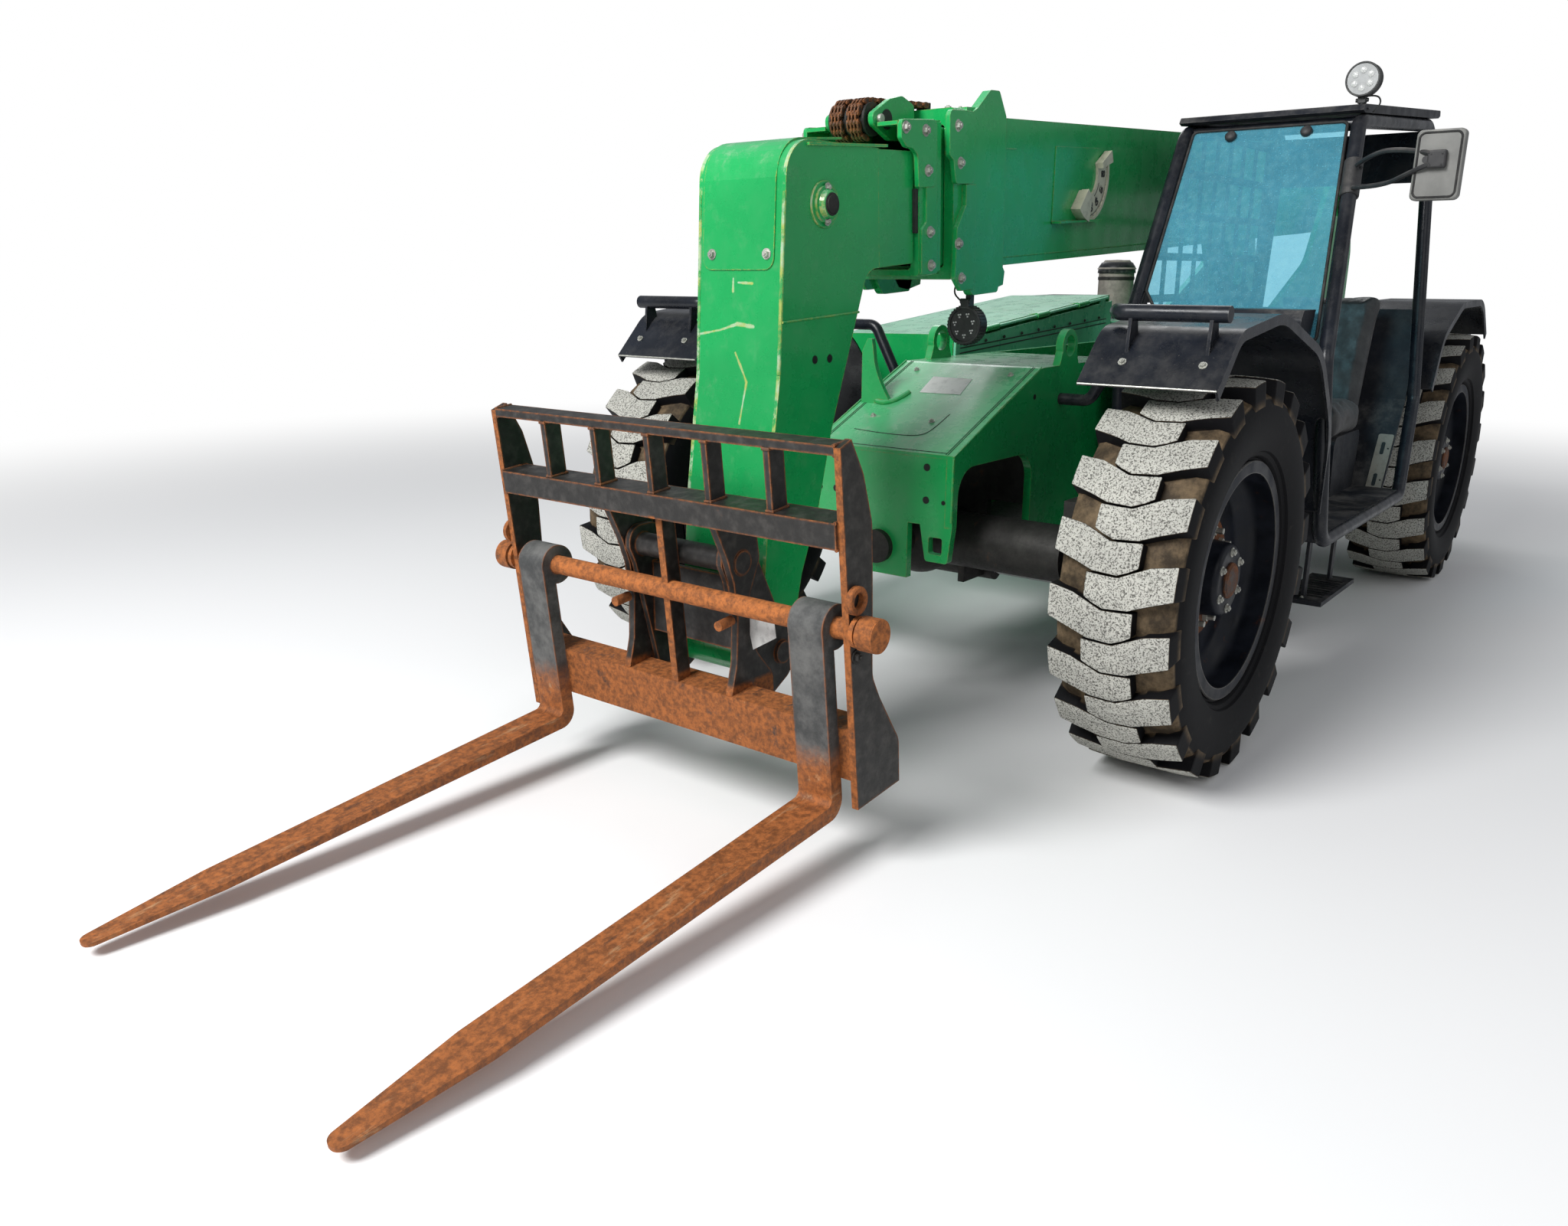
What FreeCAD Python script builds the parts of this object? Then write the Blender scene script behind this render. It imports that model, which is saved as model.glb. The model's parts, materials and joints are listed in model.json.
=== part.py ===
import FreeCAD, Part

import math
import os

# Telehandler with a three-section boom, a fork carriage and an open side cab.
# Millimetres. While it is built, x = 0 is the front axle, +X is forward, +Y is the cab side
# and z = 0 is the ground. At the end everything is moved so that the origin lies on the
# ground below the middle of the whole machine.

V = FreeCAD.Vector

# Running gear
wheelbase = 3300.0
track = 2050.0
tyre_radius = 640.0
tyre_width = 390.0
tyre_facets = 20
lug_count = 20
lug_height = 42.0
lug_tip = 58.0
lug_inset = 7.0
rim_seat_radius = 360.0
rim_flange_radius = 385.0
rim_half_width = 162.0
rim_wall = 15.0
rim_disc = 16.0
rim_disc_offset = 24.0
hub_radius = 165.0
hub_cap_radius = 125.0
hub_cap_reach = 130.0
hub_depth = 84.0
kingpin_inset = 225.0
kingpin_y = track / 2 - kingpin_inset
kingpin_radius = 25.0
kingpin_reach = 160.0
spindle_radius = 55.0
knuckle_radius = 65.0
brake_radius = 120.0
steer_arm_length = 190.0
steer_arm_inset = 15.0
steer_arm_drop = 100.0
steer_arm_thick = 40.0
steer_arm_half = 28.0
tie_rod_radius = 18.0
tie_rod_gap = 6.0
steer_cylinder_half = 220.0
steer_cylinder_radius = 42.0
axle_tube_radius = 100.0
diff_radius = 150.0
trunnion_radius = 60.0
yoke_half = 60.0
yoke_thick = 40.0
yoke_web_inset = 120.0
yoke_web_y = kingpin_y - yoke_web_inset

# Running and seating clearances
run_gap = 0.05
seat_gap = 0.3
move_gap = 6.0

# Main frame
frame_half = 300.0
frame_plate = 30.0
frame_inside = frame_half - frame_plate - seat_gap
apron_x = 285.0
apron_bottom = 740.0
apron_top = 988.0
deck_x = -320.0
deck_z = 1245.0
deck_thick = 12.0
arch_back = 280.0
arch_front = 255.0
arch_top = 940.0
belly_z = 560.0
tail_z = 640.0
tail_x = -wheelbase - 1040.0
trunnion_bottom = 540.0
eye_x = -540.0
eye_z = 1315.0
eye_radius = 62.0
eye_hole = 40.0

# Boom
pivot_x = -wheelbase - 700.0
pivot_z = 1960.0
boom_slope = 3.1
pivot_pin = 60.0
pivot_boss = 110.0
outer_half = 170.0
outer_low = -147.0
outer_high = 343.0
outer_wall = 10.0
outer_tail = -280.0
outer_front = 97.0 - pivot_x
mid_half = 145.0
mid_low = -131.0
mid_high = 305.0
mid_wall = 8.0
mid_tail = 250.0
mid_front = 484.0 - pivot_x
mid_collar = 309.0
inner_half = 118.0
inner_low = -112.0
inner_high = 228.0
inner_wall = 8.0
inner_tail = 300.0
inner_front = 570.0 - pivot_x
pad_length = 80.0

# Lift cylinder
lift_foot_x = pivot_x
lift_foot_z = 1010.0
lift_eye_u = 1000.0
lift_eye_v = -330.0
lift_pin = 35.0
lift_eye_radius = 75.0
lift_eye_half = 70.0
lift_bore = 62.0
lift_barrel_wall = 14.0
lift_barrel_length = 1050.0
lift_gland = 60.0
lift_bore_start = 120.0
lift_piston = 50.0
lift_rod_radius = 45.0
rod_eye_radius = 60.0
rod_eye_half = 40.0
clevis_gap = 10.0
clevis_plate = 25.0

# Head, coupler and fork carriage
head_half = 163.0
head_wall = 12.0
tilt_x = 1080.0
tilt_z = 480.0
tilt_pin = 35.0
head_boss = 85.0
coupler_inner = 172.0
coupler_plate = 20.0
coupler_tube = 35.0
shaft_x = 1360.0
shaft_z = 700.0
shaft_radius = 29.0
shaft_half = 740.0
carriage_tilt = 6.0
carriage_half = 665.0
carriage_plate = 20.0
rib_inner = 196.0
rib_plate = 25.0
fork_y = 545.0
fork_width = 115.0
fork_thick = 45.0
fork_length = 1524.0
fork_drop = 500.0
fork_eye = 62.0
fork_tip_thick = 10.0
lower_bar_front = 15.7

# Cab and engine side; their places along x are drawn for a space of bay_drawn between the wheels
bay_start = -700.0
bay_drawn = 1900.0
bay_share = (wheelbase + 2 * bay_start) / bay_drawn


def bay_x(x):
    """Place of a point between the wheels for the wheelbase as it is."""
    return bay_start + (x - bay_start) * bay_share


def bay(points):
    """Points with their first value, x, set to the space between the wheels."""
    return [(bay_x(p[0]),) + tuple(p[1:]) for p in points]


cab_right = 385.0
cab_tube = 27.0
cab_floor_z = 612.0
hood_hinge_y = -400.0
hood_outer_y = -1150.0
hood_front_x = bay_x(-872.0)
hood_rear_x = bay_x(-2480.0)
hood_front_z = 1313.0
hood_slope = 5.2
hood_wall = 6.0
hinge_pin = 7.0
hood_bottom_z = 930.0
mirror_reach = 1485.0
pod_floor = 620.0
tow_hole = 16.0
rear_deck_z = 1330.0
exhaust_x = -wheelbase + 240.0
exhaust_height = 270.0
fender_inner_y = track / 2 - 252.0
fender_outer_y = track / 2 + 170.0
exhaust_y = 133.0 - fender_inner_y
fender_thick = 8.0
fender_lip = 34.0
rear_stay_x = 480.0
sheave_u = 461.0 - pivot_x
sheave_v = 323.0
dial_u = -780.0 - pivot_x
dial_v = 120.0
hook_x = 1290.0
hook_z = 800.0
lock_x = 1200.0
lock_z = 375.0
lock_radius = 25.0


def box(x0, x1, y0, y1, z0, z1):
    """Block between two corners."""
    return Part.makeBox(x1 - x0, y1 - y0, z1 - z0, V(x0, y0, z0))


def rod(start, end, radius):
    """Round bar between two points."""
    a = V(*start)
    b = V(*end)
    return Part.makeCylinder(radius, (b - a).Length, a, b - a)


def cross_rod(x, z, y0, y1, radius):
    """Round bar along y."""
    return Part.makeCylinder(radius, y1 - y0, V(x, y0, z), V(0, 1, 0))


def fuse(shapes):
    """One solid from shapes that touch or overlap."""
    shapes = list(shapes)
    return shapes[0].multiFuse(shapes[1:]).removeSplitter()


def both_sides(shape):
    """The shape and its mirror image across the middle plane."""
    return [shape, shape.mirror(V(0, 0, 0), V(0, 1, 0))]


def corner_arc(before, corner, after, radius):
    """Start, middle and end of the tangent arc that rounds a corner."""
    to_before = (before - corner).normalize()
    to_after = (after - corner).normalize()
    half = to_before.getAngle(to_after) / 2
    inward = (to_before + to_after).normalize()
    centre = corner + inward * (radius / math.sin(half))
    setback = radius / math.tan(half)
    return corner + to_before * setback, centre - inward * radius, corner + to_after * setback


def outline(corners, place):
    """Closed wire through corners given as (a, b, rounding); place(a, b) puts them in space."""
    points = [place(a, b) for a, b, r in corners]
    edges = []
    ends = []
    for i, (a, b, r) in enumerate(corners):
        if r > 0:
            start, middle, end = corner_arc(points[i - 1], points[i], points[(i + 1) % len(points)], r)
            edges.append(Part.Arc(start, middle, end).toShape())
            ends.append((start, end))
        else:
            ends.append((points[i], points[i]))
    for i, (start, end) in enumerate(ends):
        following = ends[(i + 1) % len(ends)][0]
        if (following - end).Length > 0.001:
            edges.append(Part.LineSegment(end, following).toShape())
    return Part.Wire(Part.__sortEdges__(edges))


def plate_xz(corners, y0, y1):
    """Plate with a side-view outline of (x, z, rounding), between two values of y."""
    face = Part.Face(outline(corners, lambda x, z: V(x, y0, z)))
    return face.extrude(V(0, y1 - y0, 0))


def plate_yz(corners, x0, x1):
    """Plate with a front-view outline of (y, z, rounding), between two values of x."""
    face = Part.Face(outline(corners, lambda y, z: V(x0, y, z)))
    return face.extrude(V(x1 - x0, 0, 0))


def plate_xy(corners, z0, z1):
    """Plate with a plan outline of (x, y, rounding), between two heights."""
    face = Part.Face(outline(corners, lambda x, y: V(x, y, z0)))
    return face.extrude(V(0, 0, z1 - z0))


def turned(corners):
    """Solid turned about the y axis from a section of (y, radius, rounding)."""
    face = Part.Face(outline(corners, lambda y, r: V(r, y, 0)))
    return face.revolve(V(0, 0, 0), V(0, 1, 0), 360)


def tube(points, radius, bend):
    """Round bar along straight runs that are joined by tangent bends."""
    points = [V(*p) for p in points]
    pieces = []
    start = points[0]
    for before, corner, after in zip(points, points[1:], points[2:]):
        arc_start, middle, arc_end = corner_arc(before, corner, after, bend)
        along = corner - before
        onward = after - corner
        axis = along.cross(onward)
        centre = arc_start + axis.cross(along).normalize() * bend
        section = Part.Face(Part.Wire(Part.makeCircle(radius, arc_start, along)))
        pieces.append(rod(start, arc_start, radius))
        pieces.append(section.revolve(centre, axis, math.degrees(along.getAngle(onward))))
        start = arc_end
    pieces.append(rod(start, points[-1], radius))
    return fuse(pieces)


# Wheels, knuckles and axles

def facet_wheel(section, count, turn):
    """Solid of flat facets about the y axis from a section of (y, radius); turn is its first corner's angle."""
    rings = []
    for i in range(count):
        angle = math.radians(turn) + 2 * math.pi * i / count
        rings.append([V(r * math.cos(angle), y, r * math.sin(angle)) for y, r in section])
    faces = []
    for i, here in enumerate(rings):
        there = rings[(i + 1) % count]
        for j in range(len(section)):
            k = (j + 1) % len(section)
            faces.append(Part.Face(Part.makePolygon([here[j], here[k], there[k], there[j], here[j]])))
    return Part.Solid(Part.Shell(faces))


def wheel_tyre():
    """Tyre with its axis on y, its outer side at +y and a staggered row of lugs on each side."""
    half = tyre_width / 2
    bead = rim_half_width - 12 - seat_gap
    bore = (rim_seat_radius + seat_gap) / math.cos(math.pi / tyre_facets)
    pitch = 360 / lug_count
    tip_radius = tyre_radius / math.cos(math.radians(pitch / 4))
    lug_face = math.sqrt(tip_radius ** 2 - lug_tip ** 2)
    first = -pitch / 4 - math.degrees(math.asin(lug_tip / tip_radius))
    left = [(-bead, bore), (-bead, rim_flange_radius + 12), (-half, 440), (-half, 545),
            (-half + 30, lug_face - lug_height)]
    section = left + [(-y, r) for y, r in reversed(left)]
    carcass = facet_wheel(section, tyre_facets, 180 / tyre_facets - 90 - first)
    reach = half - lug_inset
    lugs = []
    for side, start in ((1, first), (-1, first + pitch / 2)):
        outline_ys = [(0, -70), (-lug_tip, 20), (-36, reach), (46, reach), (27, -62)]
        corners = [V(s, side * y, -lug_face) for s, y in outline_ys]
        block = Part.Face(Part.makePolygon(corners + corners[:1])).extrude(V(0, 0, 2.4 * lug_height))
        for i in range(lug_count):
            lug = block.copy()
            lug.rotate(V(0, 0, 0), V(0, 1, 0), start + i * pitch)
            lugs.append(lug)
    return fuse([carcass] + lugs)


def wheel_rim():
    """Rim, disc and hub in one, with a blind bore for the spindle."""
    inside = rim_seat_radius - rim_wall
    disc = rim_disc_offset
    bore = spindle_radius + run_gap
    lip = rim_half_width - 12
    return turned([
        (-hub_depth + disc, bore, 0), (-hub_depth + disc, hub_radius, 0), (disc, hub_radius, 0),
        (disc, inside, 0), (-rim_half_width, inside, 0), (-rim_half_width, rim_flange_radius, 4),
        (-lip, rim_flange_radius, 4), (-lip, rim_seat_radius, 0), (lip, rim_seat_radius, 0),
        (lip, rim_flange_radius, 4), (rim_half_width, rim_flange_radius, 4),
        (rim_half_width, inside, 0), (disc + 60, inside, 40), (disc + rim_disc, inside - 50, 30),
        (disc + rim_disc, hub_cap_radius, 10), (hub_cap_reach, hub_cap_radius - 8, 20),
        (hub_cap_reach, 0, 0), (disc, 0, 0), (disc, bore, 0)])


def knuckle(arm_side):
    """Knuckle about its kingpin at the origin, with the spindle along +y.

    arm_side is -1 for a steering arm that points back and +1 for one that points forward.
    """
    to_wheel = track / 2 - kingpin_y
    hub_face = to_wheel + rim_disc_offset - hub_depth
    column_half = kingpin_reach - seat_gap
    column = Part.makeCylinder(knuckle_radius, 2 * column_half, V(0, 0, -column_half))
    pin_end = kingpin_reach + yoke_thick
    pin = Part.makeCylinder(kingpin_radius, 2 * pin_end, V(0, 0, -pin_end))
    spindle = cross_rod(0, 0, 0, to_wheel + rim_disc_offset - seat_gap, spindle_radius)
    brake = cross_rod(0, 0, knuckle_radius - 3, hub_face - seat_gap, brake_radius)
    low = -steer_arm_drop - steer_arm_thick / 2
    far = arm_side * steer_arm_length
    arm = box(min(0, far), max(0, far), -steer_arm_inset - steer_arm_half, steer_arm_half - steer_arm_inset,
              low, low + steer_arm_thick)
    arm_eye = Part.makeCylinder(steer_arm_half + 4, steer_arm_thick, V(far, -steer_arm_inset, low))
    return fuse([column, pin, spindle, brake, arm, arm_eye])


def tie_rod_z():
    """Height of the tie rod's axis above the wheel centres."""
    return -steer_arm_drop - steer_arm_thick / 2 - tie_rod_gap - tie_rod_radius


def tie_rod(arm_side):
    """Rod between the two steering arms of an axle, its eyes just under the arms."""
    top = tie_rod_z() + tie_rod_radius
    x = arm_side * steer_arm_length
    end_y = kingpin_y - steer_arm_inset
    bar = cross_rod(x, top - tie_rod_radius, -end_y, end_y, tie_rod_radius)
    eye_low = top - 2 * tie_rod_radius + 2
    eye_height = 2 * tie_rod_radius - 4
    eyes = [Part.makeCylinder(steer_arm_half + 2, eye_height, V(x, y, eye_low)) for y in (-end_y, end_y)]
    return fuse([bar] + eyes)


def steer_cylinder(arm_side):
    """Double-ended steering cylinder on the axle; the tie rod runs through it."""
    x = arm_side * steer_arm_length
    z = tie_rod_z()
    body = cross_rod(x, z, -steer_cylinder_half, steer_cylinder_half, steer_cylinder_radius)
    far = x + arm_side * -10
    places = (-steer_cylinder_half + 30, steer_cylinder_half - 55)
    brackets = [box(min(far, 0), max(far, 0), y, y + 25, z - 20, -40) for y in places]
    bore = cross_rod(x, z, -steer_cylinder_half, steer_cylinder_half, tie_rod_radius + run_gap)
    return fuse([body] + brackets).cut(bore)


def axle(arm_side):
    """Axle housing with differential, trunnions, kingpin yokes and steering cylinder, about the origin."""
    body = cross_rod(0, 0, -yoke_web_y + 70, yoke_web_y - 70, axle_tube_radius)
    bulge = Part.makeSphere(diff_radius)
    trunnions = rod((-arch_back - frame_plate, 0, 0), (arch_back + frame_plate, 0, 0), trunnion_radius)
    half_height = kingpin_reach + yoke_thick
    web = box(-yoke_half, yoke_half, yoke_web_y - 80, yoke_web_y, -half_height, half_height)
    arms = []
    for low in (kingpin_reach, -half_height):
        arm = box(-yoke_half, yoke_half, yoke_web_y - 80, kingpin_y, low, low + yoke_thick)
        boss = Part.makeCylinder(knuckle_radius + 5, yoke_thick, V(0, kingpin_y, low))
        hole = Part.makeCylinder(kingpin_radius + run_gap, yoke_thick, V(0, kingpin_y, low))
        arms.append(arm.fuse(boss).cut(hole))
    yoke = fuse([web] + arms)
    return fuse([body, bulge, trunnions, steer_cylinder(arm_side)] + both_sides(yoke))


# Main frame

def side_plate():
    """Left side plate of the frame, with both axle arches and the boom upright."""
    rear = -wheelbase
    corners = [
        (apron_x, apron_bottom, 0), (apron_x, apron_top, 0), (deck_x, deck_z, 60), (rear + 700, deck_z, 150),
        (pivot_x + 520, 1640, 200), (pivot_x + 250, pivot_z + 115, 90), (pivot_x - 180, pivot_z + 115, 90),
        (tail_x, 1700, 120), (tail_x, tail_z, 0), (rear - arch_front, tail_z, 0),
        (rear - arch_front, arch_top, 100), (rear + arch_back, arch_top, 100),
        (rear + arch_back, belly_z, 0), (-arch_back, belly_z, 0), (-arch_back, arch_top, 100),
        (arch_front, arch_top, 100), (arch_front, apron_bottom, 0)]
    return plate_xz(corners, frame_half - frame_plate, frame_half)


def lifting_eye():
    """Left lifting eye, standing on the top edge of the side plate."""
    foot = deck_z - 40
    corners = [(eye_x - 95, foot, 0), (eye_x + 95, foot, 0), (eye_x + eye_radius - 6, eye_z - 10, 30),
               (eye_x + eye_radius - 6, eye_z, 0), (eye_x - eye_radius + 6, eye_z, 0),
               (eye_x - eye_radius + 6, eye_z - 10, 30)]
    web = plate_xz(corners, frame_half - frame_plate, frame_half)
    disc = cross_rod(eye_x, eye_z, frame_half - frame_plate, frame_half, eye_radius)
    hole = cross_rod(eye_x, eye_z, frame_half - frame_plate, frame_half, eye_hole)
    return web.fuse(disc).cut(hole)


def tie_down(x0):
    """Left tie-down lug below a cross plate: a trapezoid with a square window."""
    corners = [(170, apron_bottom + 2, 0), (195, 612, 12), (285, 612, 12),
               (frame_half, apron_bottom - seat_gap, 0), (frame_inside, apron_bottom - seat_gap, 0), (frame_inside, apron_bottom + 2, 0)]
    lug = plate_yz(corners, x0, x0 + frame_plate)
    window = plate_yz([(208, 640, 8), (262, 640, 8), (262, 700, 8), (208, 700, 8)], x0, x0 + frame_plate)
    return lug.cut(window)


def cross_plate(x0, top):
    """Upright plate across the frame that carries an axle trunnion."""
    plate = box(x0, x0 + frame_plate, -frame_inside, frame_inside, apron_bottom, top)
    middle = box(x0, x0 + frame_plate, -120, 120, trunnion_bottom, apron_bottom)
    hole = Part.makeCylinder(trunnion_radius + run_gap, frame_plate, V(x0, 0, tyre_radius), V(1, 0, 0))
    return plate.fuse(middle).cut(hole)


def frame_rail():
    """Left side of the frame with its lifting eye and the hole for the boom pivot pin."""
    hole = cross_rod(pivot_x, pivot_z, 0, frame_half, pivot_pin + run_gap)
    return fuse([side_plate(), lifting_eye()]).cut(hole)


def frame_nose():
    """Front cross plate with apron and tie-down lugs, and the deck sheet above them."""
    under_deck = apron_top - deck_thick - seat_gap
    apron = plate_yz([(-frame_inside, apron_bottom, 0), (-frame_inside, under_deck, 0),
                      (frame_inside, under_deck, 0), (frame_inside, apron_bottom, 0)], arch_front + 1, apron_x)
    hole = Part.makeCylinder(trunnion_radius + run_gap, frame_plate, V(arch_front, 0, tyre_radius), V(1, 0, 0))
    lugs = both_sides(tie_down(arch_front))
    front = fuse([cross_plate(arch_front, apron_top - 20), apron.cut(hole)] + lugs)
    deck = plate_xz([(apron_x, apron_top, 0), (deck_x, deck_z, 60), (-1000, deck_z, 0),
                     (-1000, deck_z - deck_thick, 0), (deck_x + 3, deck_z - deck_thick, 50),
                     (apron_x, apron_top - deck_thick, 0)], -frame_inside, frame_inside)
    return Part.makeCompound([front, deck])


def lift_foot():
    """Foot plate across the frame with the lugs and pin of the lift cylinder."""
    plate = box(lift_foot_x - 150, lift_foot_x + 150, -frame_inside, frame_inside, lift_foot_z - 200,
                lift_foot_z - 120)
    lug_y = lift_eye_half + 2 * move_gap
    lug = plate_xz([(lift_foot_x - 110, lift_foot_z - 121, 0), (lift_foot_x - 70, lift_foot_z + 70, 60),
                    (lift_foot_x + 70, lift_foot_z + 70, 60), (lift_foot_x + 110, lift_foot_z - 121, 0)],
                   lug_y, lug_y + clevis_plate)
    pin = cross_rod(lift_foot_x, lift_foot_z, -lug_y - clevis_plate, lug_y + clevis_plate, lift_pin)
    return fuse([plate, pin] + both_sides(lug))


def frame_crossmembers():
    """What ties the frame rails: trunnion plates, belly and tail plates, lift foot and boom pivot pin."""
    rear = -wheelbase
    plates = [cross_plate(x0, top) for x0, top in ((-arch_back - frame_plate, 1180), (rear + arch_back, 1180),
                                                   (rear - arch_front - frame_plate, 990))]
    belly = box(rear + arch_back + frame_plate + seat_gap, -arch_back - frame_plate - seat_gap, -frame_inside,
                frame_inside, belly_z, belly_z + deck_thick)
    tail = box(tail_x, tail_x + frame_plate, -frame_inside, frame_inside, tail_z, 1300)
    pivot = cross_rod(pivot_x, pivot_z, -frame_half - 20, frame_half + 20, pivot_pin)
    return Part.makeCompound(plates + [belly, tail, pivot, lift_foot()])


# Weights, engine and engine side

def counterweight():
    """Cast weight across the tail, with a slot for the tow pin."""
    body = plate_xy([(tail_x - 0.3, -1000, 40), (tail_x - 0.3, 1000, 40), (tail_x - 170, 1000, 60),
                     (tail_x - 260, 700, 120), (tail_x - 260, -700, 120), (tail_x - 170, -1000, 60)], 620, 1330)
    ears = [box(tail_x - 360, tail_x - 250, -70, 70, z, z + 25) for z in (700, 790)]
    hole = Part.makeCylinder(tow_hole, 200, V(tail_x - 320, 0, 680))
    return fuse([body] + ears).cut(hole)


def engine_block():
    """Engine as one plain block on the tray."""
    return box(bay_x(-2150), bay_x(-1050), -930, -480, pod_floor + 12.3, 1180)


def engine_tray():
    """Tray on the right of the frame that carries the engine, with its inner and end walls."""
    x0 = hood_rear_x
    x1 = hood_front_x
    floor = box(x0, x1, hood_outer_y + 10, -frame_half - seat_gap, pod_floor, pod_floor + 12)
    wall_top_rear = hood_top(x0) - hood_wall - move_gap
    wall_top_front = hood_top(x1) - hood_wall - move_gap
    inner = plate_xz([(x0, pod_floor, 0), (x1, pod_floor, 0), (x1, wall_top_front - 12, 0),
                      (x0, wall_top_rear - 12, 0)], hood_hinge_y - 12, hood_hinge_y)
    skirt = box(x0, x1, hood_outer_y + 10, hood_outer_y + 22, pod_floor, hood_bottom_z - move_gap)
    front = box(x1 - 12, x1, hood_outer_y + 10, hood_hinge_y, pod_floor, hood_bottom_z - move_gap)
    rear = box(x0, x0 + 12, hood_outer_y + 10, hood_hinge_y, pod_floor, hood_bottom_z - move_gap)
    hinge = rod((x1 - 60, hood_hinge_y, hood_top(x1 - 60)), (x0 + 60, hood_hinge_y, hood_top(x0 + 60)), hinge_pin)
    leaves = []
    for x in (x1 - 120, x0 + 120):
        leaves.append(box(x - 30, x + 30, hood_hinge_y - 3, hood_hinge_y + 3, hood_top(x) - 40, hood_top(x)))
    return Part.makeCompound([fuse([floor, inner, skirt, front, rear, hinge] + leaves), rear_deck()])


def hood_top(x):
    """Height of the hood's hinge line at a value of x."""
    return hood_front_z + (hood_front_x - x) * math.tan(math.radians(hood_slope))


def hood_section(inset):
    """Front-view outline of the hood, drawn at its front end."""
    top = hood_front_z + 8 - inset
    inner = hood_hinge_y - 16
    outer = hood_outer_y + inset
    return [(inner, top, 0), (outer + 40, top - 12, 130 - inset), (outer, hood_bottom_z, 0),
            (inner, hood_bottom_z, 0)]


def engine_hood():
    """Hood shell open below, hinged along its inner top edge."""
    x0 = hood_front_x - 2
    run = hood_rear_x + 2 - x0
    rise = -run * math.tan(math.radians(hood_slope))
    outer = Part.Face(outline(hood_section(0), lambda y, z: V(x0, y, z))).extrude(V(run, 0, rise))
    inner = Part.Face(outline(hood_section(hood_wall), lambda y, z: V(x0, y, z))).extrude(V(run, 0, rise))
    inner = inner.common(box(hood_rear_x + 8, hood_front_x - 8, -2000, 0, 0, 3000))
    inner = fuse([inner, box(hood_rear_x + 8, hood_front_x - 8, hood_outer_y + hood_wall, hood_hinge_y, 800,
                             hood_bottom_z + 30)])
    low = box(hood_rear_x - 10, hood_front_x + 10, -2000, 0, 800, hood_bottom_z)
    shell = outer.cut(inner).cut(low)
    below = box(hood_rear_x - 10, hood_front_x + 10, -2000, 0, 800, hood_bottom_z + 20)
    skirt = outer.common(below).cut(inner).cut(low)
    gill_count = int((hood_front_x - hood_rear_x - 560) / 60) + 1
    gills = []
    for i in range(gill_count):
        x = hood_rear_x + 280 + 60 * i
        gills.append(box(x - 12, x + 12, hood_outer_y - 5, hood_outer_y + 10, 1010, 1180))
    body = fuse([shell, skirt]).cut(Part.makeCompound(gills))
    sleeves = [hinge_sleeve(x) for x in (hood_front_x - 308, (hood_front_x + hood_rear_x) / 2, hood_rear_x + 360)]
    return fuse([body] + sleeves)


def hinge_sleeve(x):
    """One hinge sleeve of the hood with its strap, centred at x on the hinge line."""
    run = 120.0
    rise = run * math.tan(math.radians(hood_slope))
    z = hood_top(x) - rise / 2
    start = (x + run / 2, hood_hinge_y, z)
    end = (x - run / 2, hood_hinge_y, z + rise)
    section = [(hood_hinge_y - 45, z + 2, 0), (hood_hinge_y, z + 8, 0), (hood_hinge_y, z + 12, 0),
               (hood_hinge_y - 45, z + 8, 0)]
    strap = Part.Face(outline(section, lambda y, height: V(x + run / 2, y, height))).extrude(V(-run, 0, rise))
    bore = rod(start, end, hinge_pin + run_gap)
    return fuse([rod(start, end, hinge_pin + 6), strap]).cut(bore)


def exhaust():
    """Upright silencer with a cap, on the deck over the right rear wheel."""
    base = rear_deck_z + seat_gap
    stack = Part.makeCylinder(100, exhaust_height, V(exhaust_x, exhaust_y, base))
    cap = Part.makeCone(112, 70, 50, V(exhaust_x, exhaust_y, base + exhaust_height))
    return fuse([stack, cap])


# Fenders

def fender_band(corners, centre_x, y0, y1, thick):
    """Curved sheet over a wheel from a side-view table of (x, z, rounding)."""
    inner = []
    for x, z, r in corners:
        dx = x - centre_x
        dz = z - tyre_radius
        share = 1 - thick / math.hypot(dx, dz)
        inner.append((centre_x + dx * share, tyre_radius + dz * share, max(r - thick, 0)))
    return plate_xz(corners + inner[::-1], y0, y1)


def fender(centre_x, corners, stay_x, stay_z):
    """Left fender with a turned-down outer lip and a stay to the frame side."""
    sheet = fender_band(corners, centre_x, fender_inner_y, fender_outer_y, fender_thick)
    lip = fender_band(corners, centre_x, fender_outer_y - fender_thick, fender_outer_y, fender_lip)
    stay = tube([(stay_x, frame_half + seat_gap, 1120), (stay_x, 420, 1120), (stay_x, 560, stay_z),
                 (stay_x, fender_inner_y + 60, stay_z)], 22, 50)
    saddle = box(stay_x - 40, stay_x + 40, fender_inner_y, fender_inner_y + 70, stay_z - 7, stay_z + 98)
    cover = fender_band(corners, centre_x, fender_inner_y, fender_inner_y + 70, fender_lip + 60)
    return fuse([sheet, lip, stay, saddle.common(cover)])


def front_fender():
    """Front left fender with the guard tube across its top."""
    corners = [(400, 1267, 0), (245, 1425, 130), (-140, 1468, 400), (-610, 1330, 330), (-858, 1040, 330),
               (-850, 735, 0)]
    base = fender(0, corners, -480, 1372)
    bar = tube([(200, fender_inner_y + 27, 1470), (285, fender_inner_y + 72, 1470),
                (285, fender_outer_y - 23, 1470)], 24, 40)
    posts = [plate_xz([(235, 1360, 0), (315, 1330, 0), (300, 1480, 12), (265, 1480, 12)], y, y + 10)
             for y in (fender_inner_y + 107, fender_outer_y - 75)]
    return fuse([base, bar] + posts)


def rear_fender():
    """Rear left fender, lower at its front end."""
    rear = -wheelbase
    corners = [(rear + 800, 1060, 0), (rear + 690, 1300, 200), (rear + 330, 1445, 300), (rear - 200, 1450, 300),
               (rear - 420, 1267, 0)]
    return fender(rear, corners, rear + rear_stay_x, 1360)


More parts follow.
